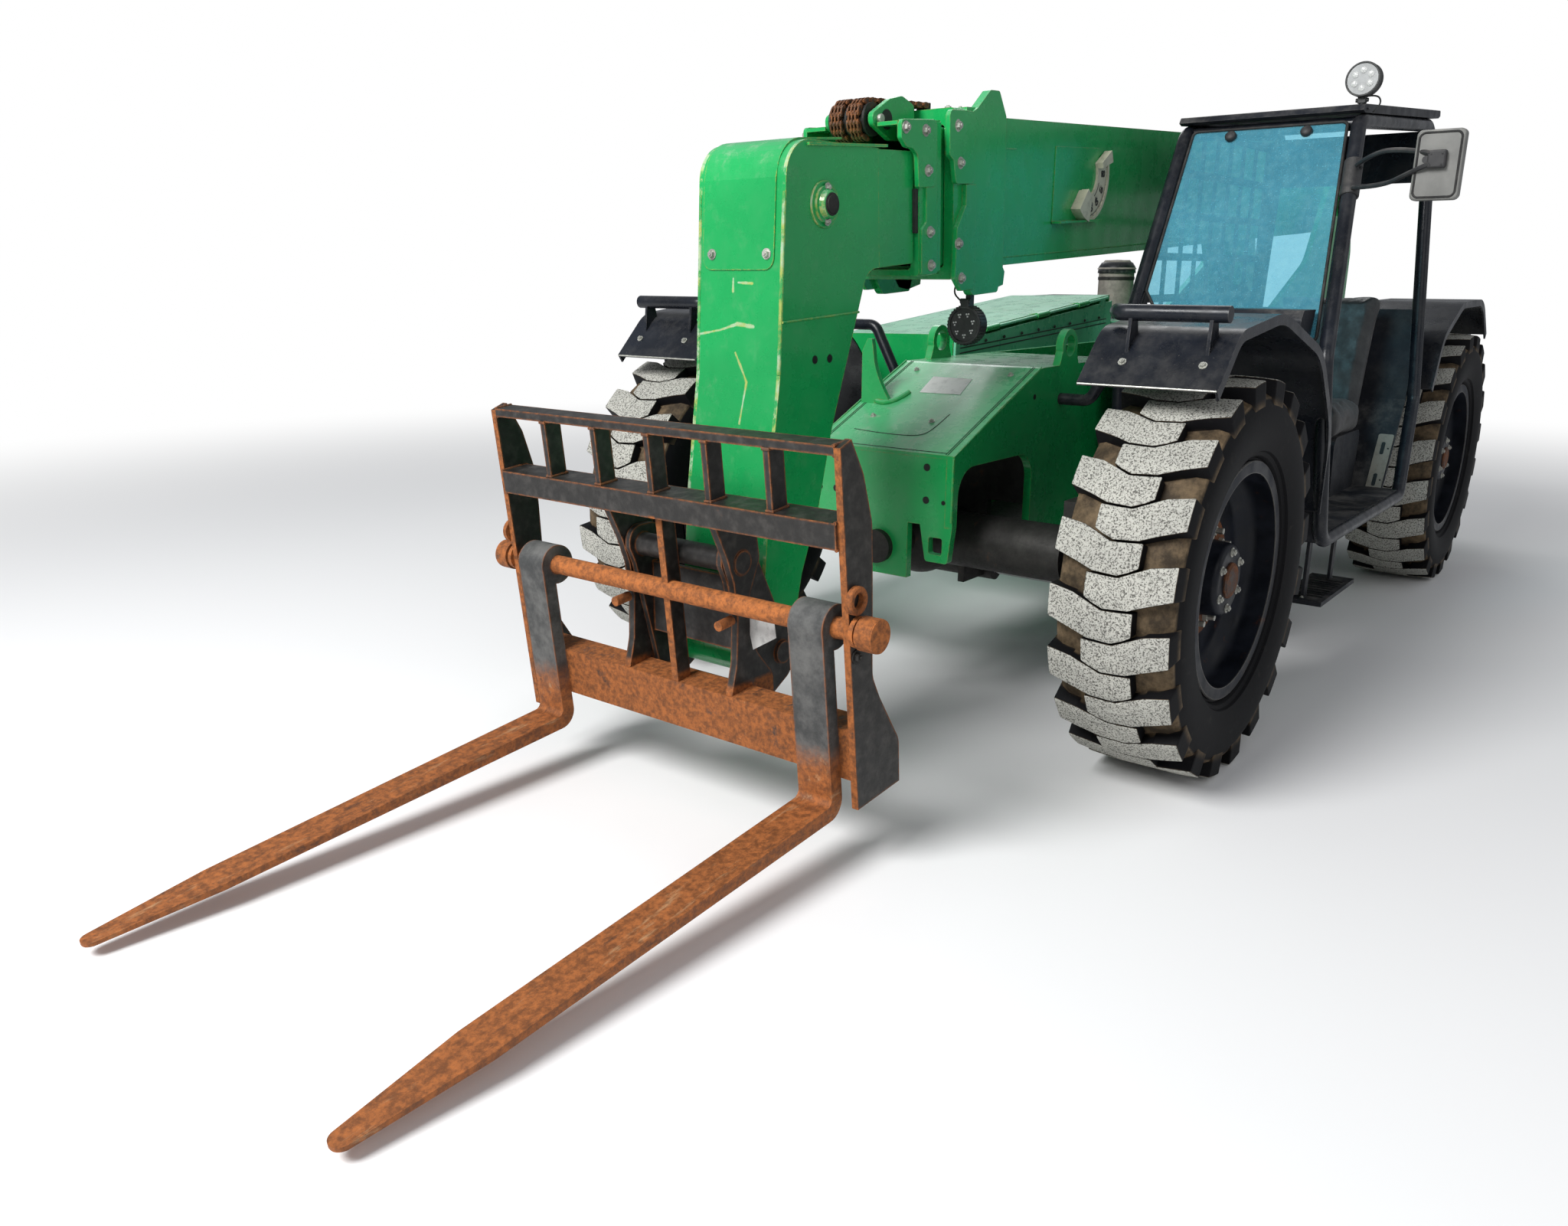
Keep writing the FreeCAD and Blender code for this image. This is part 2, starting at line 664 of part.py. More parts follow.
def rear_deck():
    """Flat cover behind the hood, over the right rear wheel."""
    end = -wheelbase - 120
    outer = move_gap - fender_inner_y
    plate = box(end, hood_rear_x - move_gap, outer, -frame_half - 10, rear_deck_z - 8, rear_deck_z)
    slot_x = rear_stay_x - wheelbase
    slot = box(slot_x - 30, slot_x + 30, -575, -495, rear_deck_z - 10, rear_deck_z + 2)
    feet = [box(x, x + 60, -frame_half - 60, -frame_half - seat_gap, 1150, rear_deck_z)
            for x in (end, hood_rear_x - 70)]
    return fuse([plate] + feet).cut(slot)


# Cab

def pillar_y(z):
    """Distance of the cab's outer pillars from the middle plane at a height."""
    return 1150 - (z - 1285) * 0.1325


def cab_frame():
    """Tube frame: door loop, right loop, headers, sill and gussets."""
    loop = [(-1500, 1190, cab_floor_z), (-882, 1190, cab_floor_z), (-812, 1150, 1285), (-1300, 1038, 2125),
            (-2520, 1026, 2215), (-2360, 1150, 1020), (-2120, 1190, cab_floor_z), (-1500, 1190, cab_floor_z)]
    left = tube(bay(loop), cab_tube, 80)
    right = tube(bay([(x, cab_right, z) for x, y, z in loop]), cab_tube, 80)
    header = rod((bay_x(-1335), cab_right, 2120), (bay_x(-1335), 1038, 2120), cab_tube - 2)
    cowl_bar = rod((bay_x(-835), cab_right, 1255), (bay_x(-835), 1150, 1255), cab_tube - 2)
    rear_bar = box(bay_x(-2530), bay_x(-2490), cab_right, 1035, 1975, 2190)
    feet = [box(x, x + 80, frame_half + seat_gap, cab_right, 620, 700) for x in (bay_x(-1200), bay_x(-2100))]
    return fuse([left, right, header, cowl_bar, rear_bar] + feet)


def cab_tub(tubes):
    """Floor, front wall, right wall, rear wall and front cowl of the cab."""
    floor = box(bay_x(-2130), bay_x(-885), cab_right, 1190, cab_floor_z, cab_floor_z + 28)
    front = plate_xz(bay([(-900, cab_floor_z, 0), (-885, cab_floor_z, 0), (-822, 1260, 0), (-837, 1260, 0)]),
                     cab_right, 1165)
    right = plate_xz(bay([(-2130, cab_floor_z, 0), (-900, cab_floor_z, 0), (-822, 1280, 0), (-2395, 1280, 0),
                          (-2350, 1020, 0)]), cab_right - 6, cab_right + 6)
    rear = plate_xz(bay([(-2130, cab_floor_z, 0), (-2115, cab_floor_z, 0), (-2345, 1020, 0), (-2400, 1420, 0),
                         (-2415, 1420, 0), (-2360, 1020, 0)]), cab_right, 1120)
    cowl = plate_xz(bay([(-833, 1190, 0), (-800, 1190, 0), (-715, 1292, 20), (-715, 1425, 20), (-740, 1455, 10),
                         (-878, 1455, 0), (-818, 1290, 0)]), 680, 1080)
    return fuse([floor, front, right, rear, cowl]).cut(tubes)


def cab_roof():
    """Roof panel with rounded slots over the windscreen."""
    low_front = 2125 + cab_tube + 0.4
    low_rear = 2215 + cab_tube + 0.4
    plate = plate_xz(bay([(-1300, low_front, 0), (-2520, low_rear, 0), (-2550, low_rear + 12, 0),
                          (-2540, low_rear + 34, 12), (-1290, low_front + 30, 14), (-1275, low_front + 8, 0)]),
                     360, 1055)
    slots = []
    for i in range(5):
        y = 708 + (i - 2) * 122
        slots.append(plate_xy(bay([(-1800, y - 42, 38), (-1410, y - 42, 38), (-1410, y + 42, 38),
                                   (-1800, y + 42, 38)]), 2100, 2300))
    return plate.cut(Part.makeCompound(slots))


def windscreen():
    """Sloping front pane between the cab tubes, cut off at its lower inner corner."""
    bottom = V(bay_x(-812), 0, 1285)
    top = V(bay_x(-1300), 0, 2125)
    along = (top - bottom).normalize()
    length = (top - bottom).Length
    normal = V(-along.z, 0, along.x)
    low = 62
    high = length - 75
    inner_y = cab_right + cab_tube + seat_gap

    def place(y, s):
        return bottom + along * s + V(0, y, 0) - normal * 3

    def edge(s):
        return pillar_y(bottom.z + along.z * s) - cab_tube - 9

    wire = outline([(inner_y, low + 200, 0), (inner_y + 140, low, 0), (edge(low), low, 20),
                    (edge(high), high, 20), (inner_y, high, 20)], place)
    return Part.Face(wire).extrude(normal * 6)


def mesh_guard():
    """Guard on the boom side of the cab: a plate with rows of openings."""
    low = 1284
    high = 2120
    plate = plate_xz(bay([(-900, low, 0), (-1290, high - 20, 0), (-2480, high + 60, 0), (-2385, low, 0)]),
                     cab_right - 4, cab_right + 4)
    holes = []
    for x in range(-2320, -1000, 165):
        for z in range(1330, 2080, 165):
            if z < 1285 + (-x - 980) * 1.65 and z < 2050:
                holes.append(box(bay_x(x), bay_x(x + 135), cab_right - 10, cab_right + 10, z, z + 135))
    return plate.cut(Part.makeCompound(holes))


def seat_base():
    """Seat box and slide."""
    return plate_xz(bay([(-2080, cab_floor_z + 28.3, 0), (-1720, cab_floor_z + 28.3, 0), (-1690, 900, 40),
                         (-2110, 900, 40)]), 560, 1000)


def seat():
    """Seat cushion and leaning backrest, both resting on the seat box."""
    low = 900 + seat_gap
    cushion = plate_xz(bay([(-2030, low, 20), (-1660, low, 40), (-1650, 1030, 45), (-2040, 1000, 20)]), 545, 1015)
    back = plate_xz(bay([(-2050, low, 10), (-2105, low, 10), (-2290, 1480, 50), (-2180, 1490, 50)]), 560, 1000)
    return Part.makeCompound([cushion, back])


def steering_column():
    """Column, dashboard and steering wheel."""
    centre = V(bay_x(-1290), 790, 1270)
    lean = V(-0.5, 0, 0.866)
    ring = Part.makeTorus(185, 15, centre, lean)
    hub = Part.makeCylinder(45, 50, centre - lean * 25, lean)
    spokes = []
    side = V(0.866, 0, 0.5)
    for angle in (90, 210, 330):
        a = math.radians(angle)
        tip = centre + side * (185 * math.cos(a)) + V(0, 185 * math.sin(a), 0)
        spokes.append(rod(tuple(centre), tuple(tip), 11))
    column = rod((bay_x(-1005), 790, cab_floor_z + 28.3), tuple(centre), 38)
    column = column.common(box(bay_x(-1600), bay_x(-900), 600, 1000, cab_floor_z + 28.3, 1400))
    dash = plate_xz(bay([(-915, 1120, 30), (-1130, 1120, 30), (-1090, 1300, 30), (-950, 1330, 30)]), 620, 960)
    stalk = plate_xz(bay([(-900, 1150, 0), (-1140, 1150, 0), (-1180, 1010, 0), (-1160, 900, 0), (-1050, 900, 0)]),
                     750, 830)
    return fuse([ring, hub, column, dash, stalk] + spokes)


def side_console():
    """Console to the right of the seat with the boom lever."""
    body = plate_xz(bay([(-2050, cab_floor_z + 28.3, 0), (-1350, cab_floor_z + 28.3, 60), (-1330, 1040, 60),
                         (-2000, 1130, 60)]), cab_right + 30, 530)
    lever = rod((bay_x(-1450), 475, 1030), (bay_x(-1470), 475, 1180), 12)
    grip = rod((bay_x(-1468), 475, 1165), (bay_x(-1480), 475, 1265), 26)
    return fuse([body, lever, grip])


def left_mirror():
    """Mirror head on two arms from a sleeve on the front pillar."""
    z = 1920
    head_x = bay_x(-905)
    head = plate_xz([(head_x - 20, z - 150, 18), (head_x + 20, z - 150, 18), (head_x + 20, z + 150, 18),
                     (head_x - 20, z + 150, 18)], mirror_reach - 205, mirror_reach)
    sleeve_z = 1890
    x = bay_x(-1300 + (2125 - sleeve_z) * 488 / 840)
    y = pillar_y(sleeve_z)
    arms = [tube([(x + 25, y + 15, sleeve_z + dz), (x + 130, 1190, sleeve_z + 40 + dz),
                  (head_x, mirror_reach - 120, z + dz)], 9, 60) for dz in (0, 60)]
    return head, arms, (x, y, sleeve_z)


def left_mirror_node(tubes):
    """Left mirror, with its sleeve cut to fit the pillar."""
    head, arms, (x, y, z) = left_mirror()
    sleeve = rod((x + 24, y + 6, z - 42), (x - 50, y - 11, z + 86), cab_tube + 6)
    return fuse([head, sleeve] + arms).cut(tubes)


def right_mirror():
    """Mirror on a post from the right front fender."""
    z = 1780
    head = plate_xz([(-625, z - 150, 18), (-585, z - 150, 18), (-585, z + 150, 18), (-625, z + 150, 18)],
                    -mirror_reach, 205 - mirror_reach)
    foot_y = 75 - fender_outer_y
    post = tube([(-300, foot_y, 1470), (-300, foot_y, 1640), (-606, 125 - mirror_reach, 1700),
                 (-606, 105 - mirror_reach, z)], 12, 40)
    foot = Part.makeCylinder(35, 85, V(-300, foot_y, 1395))
    return head, post, foot


def work_lamp():
    """Round lamp on a bracket at the cab's front left roof corner."""
    centre = V(bay_x(-1330), 1000, 2290)
    shell = Part.makeCylinder(75, 50, centre - V(25, 0, 0), V(1, 0, 0))
    post = box(centre.x - 15, centre.x + 5, 985, 1015, 2170, 2225)
    return fuse([shell, post]).cut(cab_roof())


def fuel_tank():
    """Tank below the cab with the entry step."""
    body = plate_xz(bay([(-1000, 330, 60), (-2200, 330, 60), (-2200, 585, 40), (-1000, 585, 40)]),
                    frame_half + seat_gap, 760)
    places = (bay_x(-1150), bay_x(-1520))
    straps = [box(x, x + 40, 740, 1160, 560, cab_floor_z - 28) for x in places]
    hangers = [box(x, x + 40, 1090, 1102, 330, 600) for x in places]
    tread = box(bay_x(-1560), bay_x(-1070), 1010, 1180, 318, 336)
    return fuse([body, tread] + straps + hangers)


# Boom sections, drawn along u with v upwards from the boom pivot

def boom_place(shape):
    """Turn a boom piece from its own axes to its place on the machine."""
    shape.rotate(V(0, 0, 0), V(0, 1, 0), boom_slope)
    shape.translate(V(pivot_x, 0, pivot_z))
    return shape


def boom_point(u, v):
    """Place of a boom point (u, v) as machine (x, z)."""
    a = math.radians(boom_slope)
    return pivot_x + u * math.cos(a) + v * math.sin(a), pivot_z - u * math.sin(a) + v * math.cos(a)


def square_tube(u0, u1, half, low, high, wall):
    """Hollow box section from u0 to u1, open at its front end."""
    body = box(u0, u1, -half, half, low, high)
    inside = box(u0, u1, -half + wall, half - wall, low + wall, high - wall)
    return body.cut(inside)


def pads(u0, half, low, high, room):
    """Four wear pads round a section; room is how far they reach on each side (below, above, beside)."""
    below, above, beside = room
    u1 = u0 + pad_length
    flat = half - 30
    return [box(u0, u1, -flat, flat, low - below, low), box(u0, u1, -flat, flat, high, high + above),
            box(u0, u1, half, half + beside, low + 60, high - 60),
            box(u0, u1, -half - beside, -half, low + 60, high - 60)]


def boom_outer():
    """Outer section with its pivot boss, front collar, fins and lift cylinder lugs."""
    body = square_tube(outer_tail, outer_front - 90, outer_half, outer_low, outer_high, outer_wall)
    boss_half = frame_half - frame_plate - 5
    boss = cross_rod(0, 0, -boss_half, boss_half, pivot_boss)
    bore = cross_rod(0, 0, -frame_half, frame_half, pivot_pin + run_gap)
    cap = box(outer_tail, outer_tail + outer_wall, -outer_half, outer_half, outer_low, outer_high)
    collar_half = outer_half + 20
    inside_half = outer_half - outer_wall
    collar = box(outer_front - 210, outer_front, -collar_half, collar_half, outer_low - 28, outer_high + 22)
    collar = collar.cut(box(outer_front - 220, outer_front + 10, -inside_half, inside_half,
                            outer_low + outer_wall, outer_high - outer_wall))
    cheek_corners = [(outer_front - 247, outer_low, 0), (outer_front - 210, outer_low - 87, 15),
                     (outer_front - 37, outer_low - 87, 30), (outer_front, outer_low - 43, 15),
                     (outer_front, outer_high - 3, 15), (outer_front - 57, outer_high + 22, 20),
                     (outer_front - 137, outer_high + 79, 15), (outer_front - 197, outer_high + 79, 15),
                     (outer_front - 247, outer_high, 0)]
    cheek = plate_xz(cheek_corners, outer_half, outer_half + 30)
    lug_top = outer_low - seat_gap
    lug_corners = [(lift_eye_u - 120, lug_top, 0), (lift_eye_u + 190, lug_top, 0),
                   (lift_eye_u + 60, lift_eye_v - 60, 55), (lift_eye_u - 60, lift_eye_v - 60, 55)]
    y0 = rod_eye_half + clevis_gap
    pin_hole = cross_rod(lift_eye_u, lift_eye_v, y0, y0 + clevis_plate, lift_pin)
    lug = plate_xz(lug_corners, y0, y0 + clevis_plate).cut(pin_hole)
    inside = pads(outer_front - 90, mid_half + seat_gap, mid_low - seat_gap, mid_high + seat_gap,
                  (mid_low - seat_gap - outer_low - outer_wall + 1,
                   outer_high - outer_wall - mid_high - seat_gap + 1,
                   outer_half - outer_wall - mid_half - seat_gap + 1))
    shape = fuse([body, cap, collar, boss] + both_sides(cheek) + inside).cut(bore)
    return boom_place(Part.makeCompound([shape] + both_sides(lug)))


def boom_mid():
    """Middle section with its front collar, sheave ears and wear pads."""
    body = square_tube(mid_tail, mid_front - 90, mid_half, mid_low, mid_high, mid_wall)
    collar = box(mid_front - mid_collar, mid_front, -190, 190, mid_low - 22, mid_high + 16)
    inside_half = mid_half - mid_wall
    collar = collar.cut(box(mid_front - mid_collar - 10, mid_front + 10, -inside_half, inside_half,
                            mid_low + mid_wall, mid_high - mid_wall))
    slot = box(mid_front - 110, mid_front + 10, -72, 72, mid_high - 40, mid_high + 60)
    ears = []
    for y0 in (-88, 72):
        ear = plate_xz([(sheave_u - 70, mid_high + 10, 0), (sheave_u + 23, mid_high + 10, 0),
                        (sheave_u + 23, sheave_v + 22, 20), (sheave_u - 30, sheave_v + 22, 20)], y0, y0 + 16)
        ears.append(ear)
    tail_pads = pads(mid_tail, mid_half, mid_low, mid_high,
                     (mid_low - outer_low - outer_wall - seat_gap, outer_high - outer_wall - mid_high - seat_gap,
                      outer_half - outer_wall - mid_half - seat_gap))
    nose_pads = pads(mid_front - 90, inner_half + seat_gap, inner_low - seat_gap, inner_high + seat_gap,
                     (inner_low - seat_gap - mid_low - mid_wall + 1, 0.1,
                      mid_half - mid_wall - inner_half - seat_gap + 1))
    del nose_pads[1]
    upper_pad = box(mid_front - 90, mid_front - 90 + pad_length, 76, inner_half - 8, inner_high + seat_gap,
                    mid_high - 4)
    pin_hole = cross_rod(sheave_u, sheave_v, -92, 92, 15 + seat_gap)
    shape = fuse([body, collar.cut(slot)] + ears + tail_pads + nose_pads + both_sides(upper_pad))
    return boom_place(shape.cut(pin_hole))


def boom_inner():
    """Inner section with its rear wear pads."""
    body = square_tube(inner_tail, inner_front, inner_half, inner_low, inner_high, inner_wall)
    room = (inner_low - mid_low - mid_wall - seat_gap, mid_high - mid_wall - inner_high - seat_gap,
            mid_half - mid_wall - inner_half - seat_gap)
    return boom_place(fuse([body] + pads(inner_tail, inner_half, inner_low, inner_high, room)))


def many_sided(u, v, radius, count, y0, y1):
    """Bar of count flat sides along y, about the boom point (u, v)."""
    angles = [2 * math.pi * (i + 0.5) / count for i in range(count)]
    corners = [V(u + radius * math.cos(a), y0, v + radius * math.sin(a)) for a in angles]
    return Part.Face(Part.makePolygon(corners + corners[:1])).extrude(V(0, y1 - y0, 0))


def extend_chain():
    """Pair of leaf chains over the sheave on the middle section's nose."""
    sheave = many_sided(sheave_u, sheave_v, 44, 12, -66, 66)
    pin = many_sided(sheave_u, sheave_v, 15, 8, -90, 90)
    chains = []
    for y0 in (-56, 8):
        wrap = many_sided(sheave_u, sheave_v, 60, 16, y0, y0 + 48)
        run = box(outer_front + 8, sheave_u, y0, y0 + 48, sheave_v + 42, sheave_v + 58)
        chains.append(wrap.fuse(run))
    return boom_place(fuse([sheave, pin] + chains))


def angle_dial():
    """Boom angle dial on the left side of the outer section, on its plate."""
    u, v = dial_u, dial_v
    corners = [(u - 190, v - 150, 0), (u + 190, v - 150, 0), (u + 190, v + 130, 20), (u - 190, v + 130, 20)]
    plate = plate_xz(corners, outer_half + seat_gap, outer_half + 4)
    outer = Part.makeCylinder(205, 14, V(u + 60, outer_half + 4, v + 110), V(0, 1, 0))
    inner = Part.makeCylinder(135, 14, V(u + 60, outer_half + 4, v + 110), V(0, 1, 0))
    wedge = plate_xz([(u + 60, v + 110, 0), (u - 260, v + 60, 0), (u - 200, v - 200, 0), (u + 120, v - 200, 0)],
                     outer_half, outer_half + 30)
    arc = outer.cut(inner).common(wedge)
    ledge = box(u - 190, u + 190, outer_half + 3, outer_half + 45, v - 150, v - 142)
    return boom_place(fuse([plate, arc, ledge]))


def boom_head():
    """Hollow gooseneck head on the inner section, with its lower pivot bore."""
    top_x, top_z = boom_point(inner_front, inner_high + 4)
    low_x, low_z = boom_point(inner_front, inner_low - 4)
    corners = [
        (low_x, low_z, 0), (top_x, top_z, 0), (1016, 1943, 110), (1050, 1290, 300), (1100, 950, 200),
        (1122, 700, 60), (tilt_x + head_boss, tilt_z - 10, 60), (tilt_x + 60, tilt_z - head_boss, 60),
        (tilt_x - 60, tilt_z - head_boss, 60), (tilt_x - head_boss, tilt_z, 60), (944, 690, 40),
        (862, 884, 60), (797, 1121, 100), (622, 1592, 75)]
    side = Part.Face(outline(corners, lambda x, z: V(x, -head_half, z)))
    shell = side.extrude(V(0, 2 * head_half, 0))
    hollow_corners = [
        (low_x + head_wall, low_z + head_wall, 0), (top_x + head_wall, top_z - head_wall, 0),
        (1004, 1931, 98), (1038, 1290, 300), (1088, 950, 200), (1110, 700, 50),
        (1090, tilt_z + head_boss + 20, 0), (1000, tilt_z + head_boss + 20, 0), (956, 696, 30), (876, 884, 60),
        (811, 1121, 100), (634, 1604, 87)]
    hollow = Part.Face(outline(hollow_corners, lambda x, z: V(x, head_wall - head_half, z)))
    shell = shell.cut(hollow.extrude(V(0, 2 * (head_half - head_wall), 0)))
    boss = cross_rod(tilt_x, tilt_z, -head_half, head_half, head_boss - 5)
    pin_end = cross_rod(847, 1772, head_half - 2, head_half + 14, 52)
    bore = cross_rod(tilt_x, tilt_z, -head_half, head_half, tilt_pin + run_gap)
    return fuse([shell, boss, pin_end]).cut(bore)


def hanging_lamp():
    """Round lamp hanging below the outer section's collar."""
    x, z = boom_point(outer_front - 90, outer_low - 87)
    bracket = box(x - 12, x + 12, outer_half - 20, outer_half - seat_gap, z - 60, z + 40)
    shell = Part.makeCylinder(66, 46, V(x - 23, outer_half - 16, z - 105), V(1, 0, 0))
    return fuse([bracket, shell]).cut(boom_outer())


def lift_direction():
    """Unit vector and length from the lift cylinder's foot to the rod's eye."""
    x, z = boom_point(lift_eye_u, lift_eye_v)
    line = V(x - lift_foot_x, 0, z - lift_foot_z)
    length = line.Length
    return line.normalize(), length


def lift_barrel():
    """Lift cylinder barrel with its foot eye and gland."""
    d, length = lift_direction()
    foot = V(lift_foot_x, 0, lift_foot_z)
    radius = lift_bore + lift_barrel_wall
    body = Part.makeCylinder(radius, lift_barrel_length - 60, foot + d * 60, d)
    bore_length = lift_barrel_length - lift_gland - lift_bore_start
    inside = Part.makeCylinder(lift_bore, bore_length, foot + d * lift_bore_start, d)
    gland_bore = Part.makeCylinder(lift_rod_radius + run_gap, 2 * lift_gland,
                                   foot + d * (lift_barrel_length - 1.5 * lift_gland), d)
    eye = cross_rod(lift_foot_x, lift_foot_z, -lift_eye_half, lift_eye_half, lift_eye_radius)
    hole = cross_rod(lift_foot_x, lift_foot_z, -lift_eye_half, lift_eye_half, lift_pin + run_gap)
    return fuse([body, eye]).cut(inside).cut(gland_bore).cut(hole)


def lift_rod():
    """Lift cylinder rod with its piston and eye; the eye stands in the boom lugs with no pin."""
    d, length = lift_direction()
    foot = V(lift_foot_x, 0, lift_foot_z)
    start = lift_bore_start + move_gap
    piston = Part.makeCylinder(lift_bore - run_gap, lift_piston, foot + d * start, d)
    stem = Part.makeCylinder(lift_rod_radius, length - start, foot + d * start, d)
    end = foot + d * length
    eye = cross_rod(end.x, end.z, -rod_eye_half, rod_eye_half, rod_eye_radius)
    hole = cross_rod(end.x, end.z, -rod_eye_half, rod_eye_half, lift_pin)
    return fuse([piston, stem, eye]).cut(hole)


# Coupler, carriage and forks; the carriage is drawn upright about the fork shaft

def carriage_place(shape):
    """Lean an upright carriage piece forward and move it to the fork shaft."""
    shape.rotate(V(0, 0, 0), V(0, 1, 0), carriage_tilt)
    shape.translate(V(shaft_x, 0, shaft_z))
    return shape


def coupler():
    """Tilting coupler: two side plates, cross web, upper tube, lower pin and tilt pin."""
    corners = [(1005, 470, 70), (1040, 400, 60), (1220, 300, 40), (1238, 420, 60), (1322, 745, 30), (1345, 795, 15),
               (1345, 860, 50), (1225, 860, 55), (1085, 590, 70), (1010, 560, 60)]
    plates = both_sides(plate_xz(corners, coupler_inner, coupler_inner + coupler_plate))
    web = box(1235, 1253, -coupler_inner - 2, coupler_inner + 2, 520, 740)
    tube_half = rib_inner + rib_plate + 4
    upper = cross_rod(hook_x, hook_z, -tube_half, tube_half, coupler_tube)
    lower = cross_rod(lock_x, lock_z, -tube_half, tube_half, lock_radius)
    pin_half = coupler_inner + coupler_plate + 12
    pin = cross_rod(tilt_x, tilt_z, -pin_half, pin_half, tilt_pin)
    return fuse(plates + [web, upper, lower, pin])


def hook_rib():
    """Left hook rib of the carriage, hooked over the coupler's upper tube."""
    a, b = carriage_local(hook_x, hook_z)
    low_a, low_b = carriage_local(lock_x, lock_z)
    corners = [
        (20, 230, 0), (-20, 120, 60), (-40, 40, 60), (-42, -70, 80), (-22, -200, 90), (10, -285, 0), (-80, -285, 0),
        (-80, -434, 0), (low_a - 45, low_b - 50, 30), (low_a - 50, low_b + 60, 50), (-105, -180, 120),
        (-95, -20, 60), (a - 48, b - 55, 15), (a - 75, b - 10, 40), (a - 70, b + 80, 60), (-60, 230, 0)]
    rib = plate_xz(corners, rib_inner, rib_inner + rib_plate)
    for hole_a, hole_b, radius in ((a, b, coupler_tube), (low_a, low_b, lock_radius)):
        rib = rib.cut(cross_rod(hole_a, hole_b, rib_inner, rib_inner + rib_plate, radius + seat_gap))
    return rib


def carriage_local(x, z):
    """Machine point (x, z) in the upright carriage's own axes."""
    t = math.radians(carriage_tilt)
    dx = x - shaft_x
    dz = z - shaft_z
    return dx * math.cos(t) - dz * math.sin(t), dx * math.sin(t) + dz * math.cos(t)


def carriage():
    """Welded carriage: side plates, top, middle and lower bars, uprights and hook ribs."""
    side_corners = [(30, -509, 0), (30, 483, 0), (-18, 496, 0), (-62, 400, 60), (-90, 268, 60), (-84, 147, 60),
                    (-63, -151, 80), (-91, -221, 60), (-175, -382, 60), (-170, -512, 0)]
    side = plate_xz(side_corners, carriage_half - carriage_plate, carriage_half)
    side = side.cut(cross_rod(0, 0, carriage_half - carriage_plate, carriage_half, shaft_radius + run_gap))
    inside = carriage_half - carriage_plate
    top = box(-35, 30, -inside, inside, 463, 488)
    middle = box(-60, 40, -inside, inside, 225, 295)
    lower = box(-80, lower_bar_front, -inside, inside, -435, -285)
    uprights = [box(-30, 30, y - 10, y + 10, 290, 465) for y in (-430, -215, 0, 215, 430)]
    post = box(-40, 14, -12, 12, -290, 230).cut(cross_rod(0, 0, -12, 12, shaft_radius + run_gap))
    bars = [top, middle, lower, post] + uprights
    return carriage_place(fuse(bars + both_sides(side) + both_sides(hook_rib())))


def fork_shaft():
    """Round shaft that the forks hang on, with its end caps and collars."""
    shaft = cross_rod(0, 0, -shaft_half, shaft_half, shaft_radius)
    caps = []
    for y0, y1, radius in ((shaft_half - 16, shaft_half, 45), (carriage_half + 2, carriage_half + 16, 42)):
        caps.extend(both_sides(cross_rod(0, 0, y0, y1, radius)))
    return carriage_place(fuse([shaft] + caps))


def fork(side):
    """Fork on its shaft: eye, shank resting on the lower bar, heel and tapered blade."""
    back = lower_bar_front + seat_gap
    tip = back + fork_length
    low = -fork_drop - fork_thick
    corners = [(back, 0, 0), (back, low, 55), (tip, low + fork_thick - fork_tip_thick, 0), (tip, -fork_drop, 0),
               (back + fork_thick, -fork_drop, 22), (back + fork_thick, 0, 0)]
    y0 = side * fork_y - fork_width / 2
    blade = plate_xz(corners, y0, y0 + fork_width)
    plan = plate_xy([(-100, y0, 0), (tip - 330, y0, 200), (tip, y0 + 32, 26), (tip, y0 + fork_width - 32, 26),
                     (tip - 330, y0 + fork_width, 200), (-100, y0 + fork_width, 0)], -900, 200)
    eye = cross_rod(0, 0, y0, y0 + fork_width, fork_eye)
    hole = cross_rod(0, 0, y0, y0 + fork_width, shaft_radius + run_gap)
    return carriage_place(fuse([blade.common(plan), eye]).cut(hole))


# All nodes in their place

def placed(shape, x, y, z):
    """A copy of a shape moved by (x, y, z)."""
    copy = shape.copy()
    copy.translate(V(x, y, z))
    return copy


def mirrored(shape):
    """Mirror image of a left piece for the right side."""
    return shape.mirror(V(0, 0, 0), V(0, 1, 0))


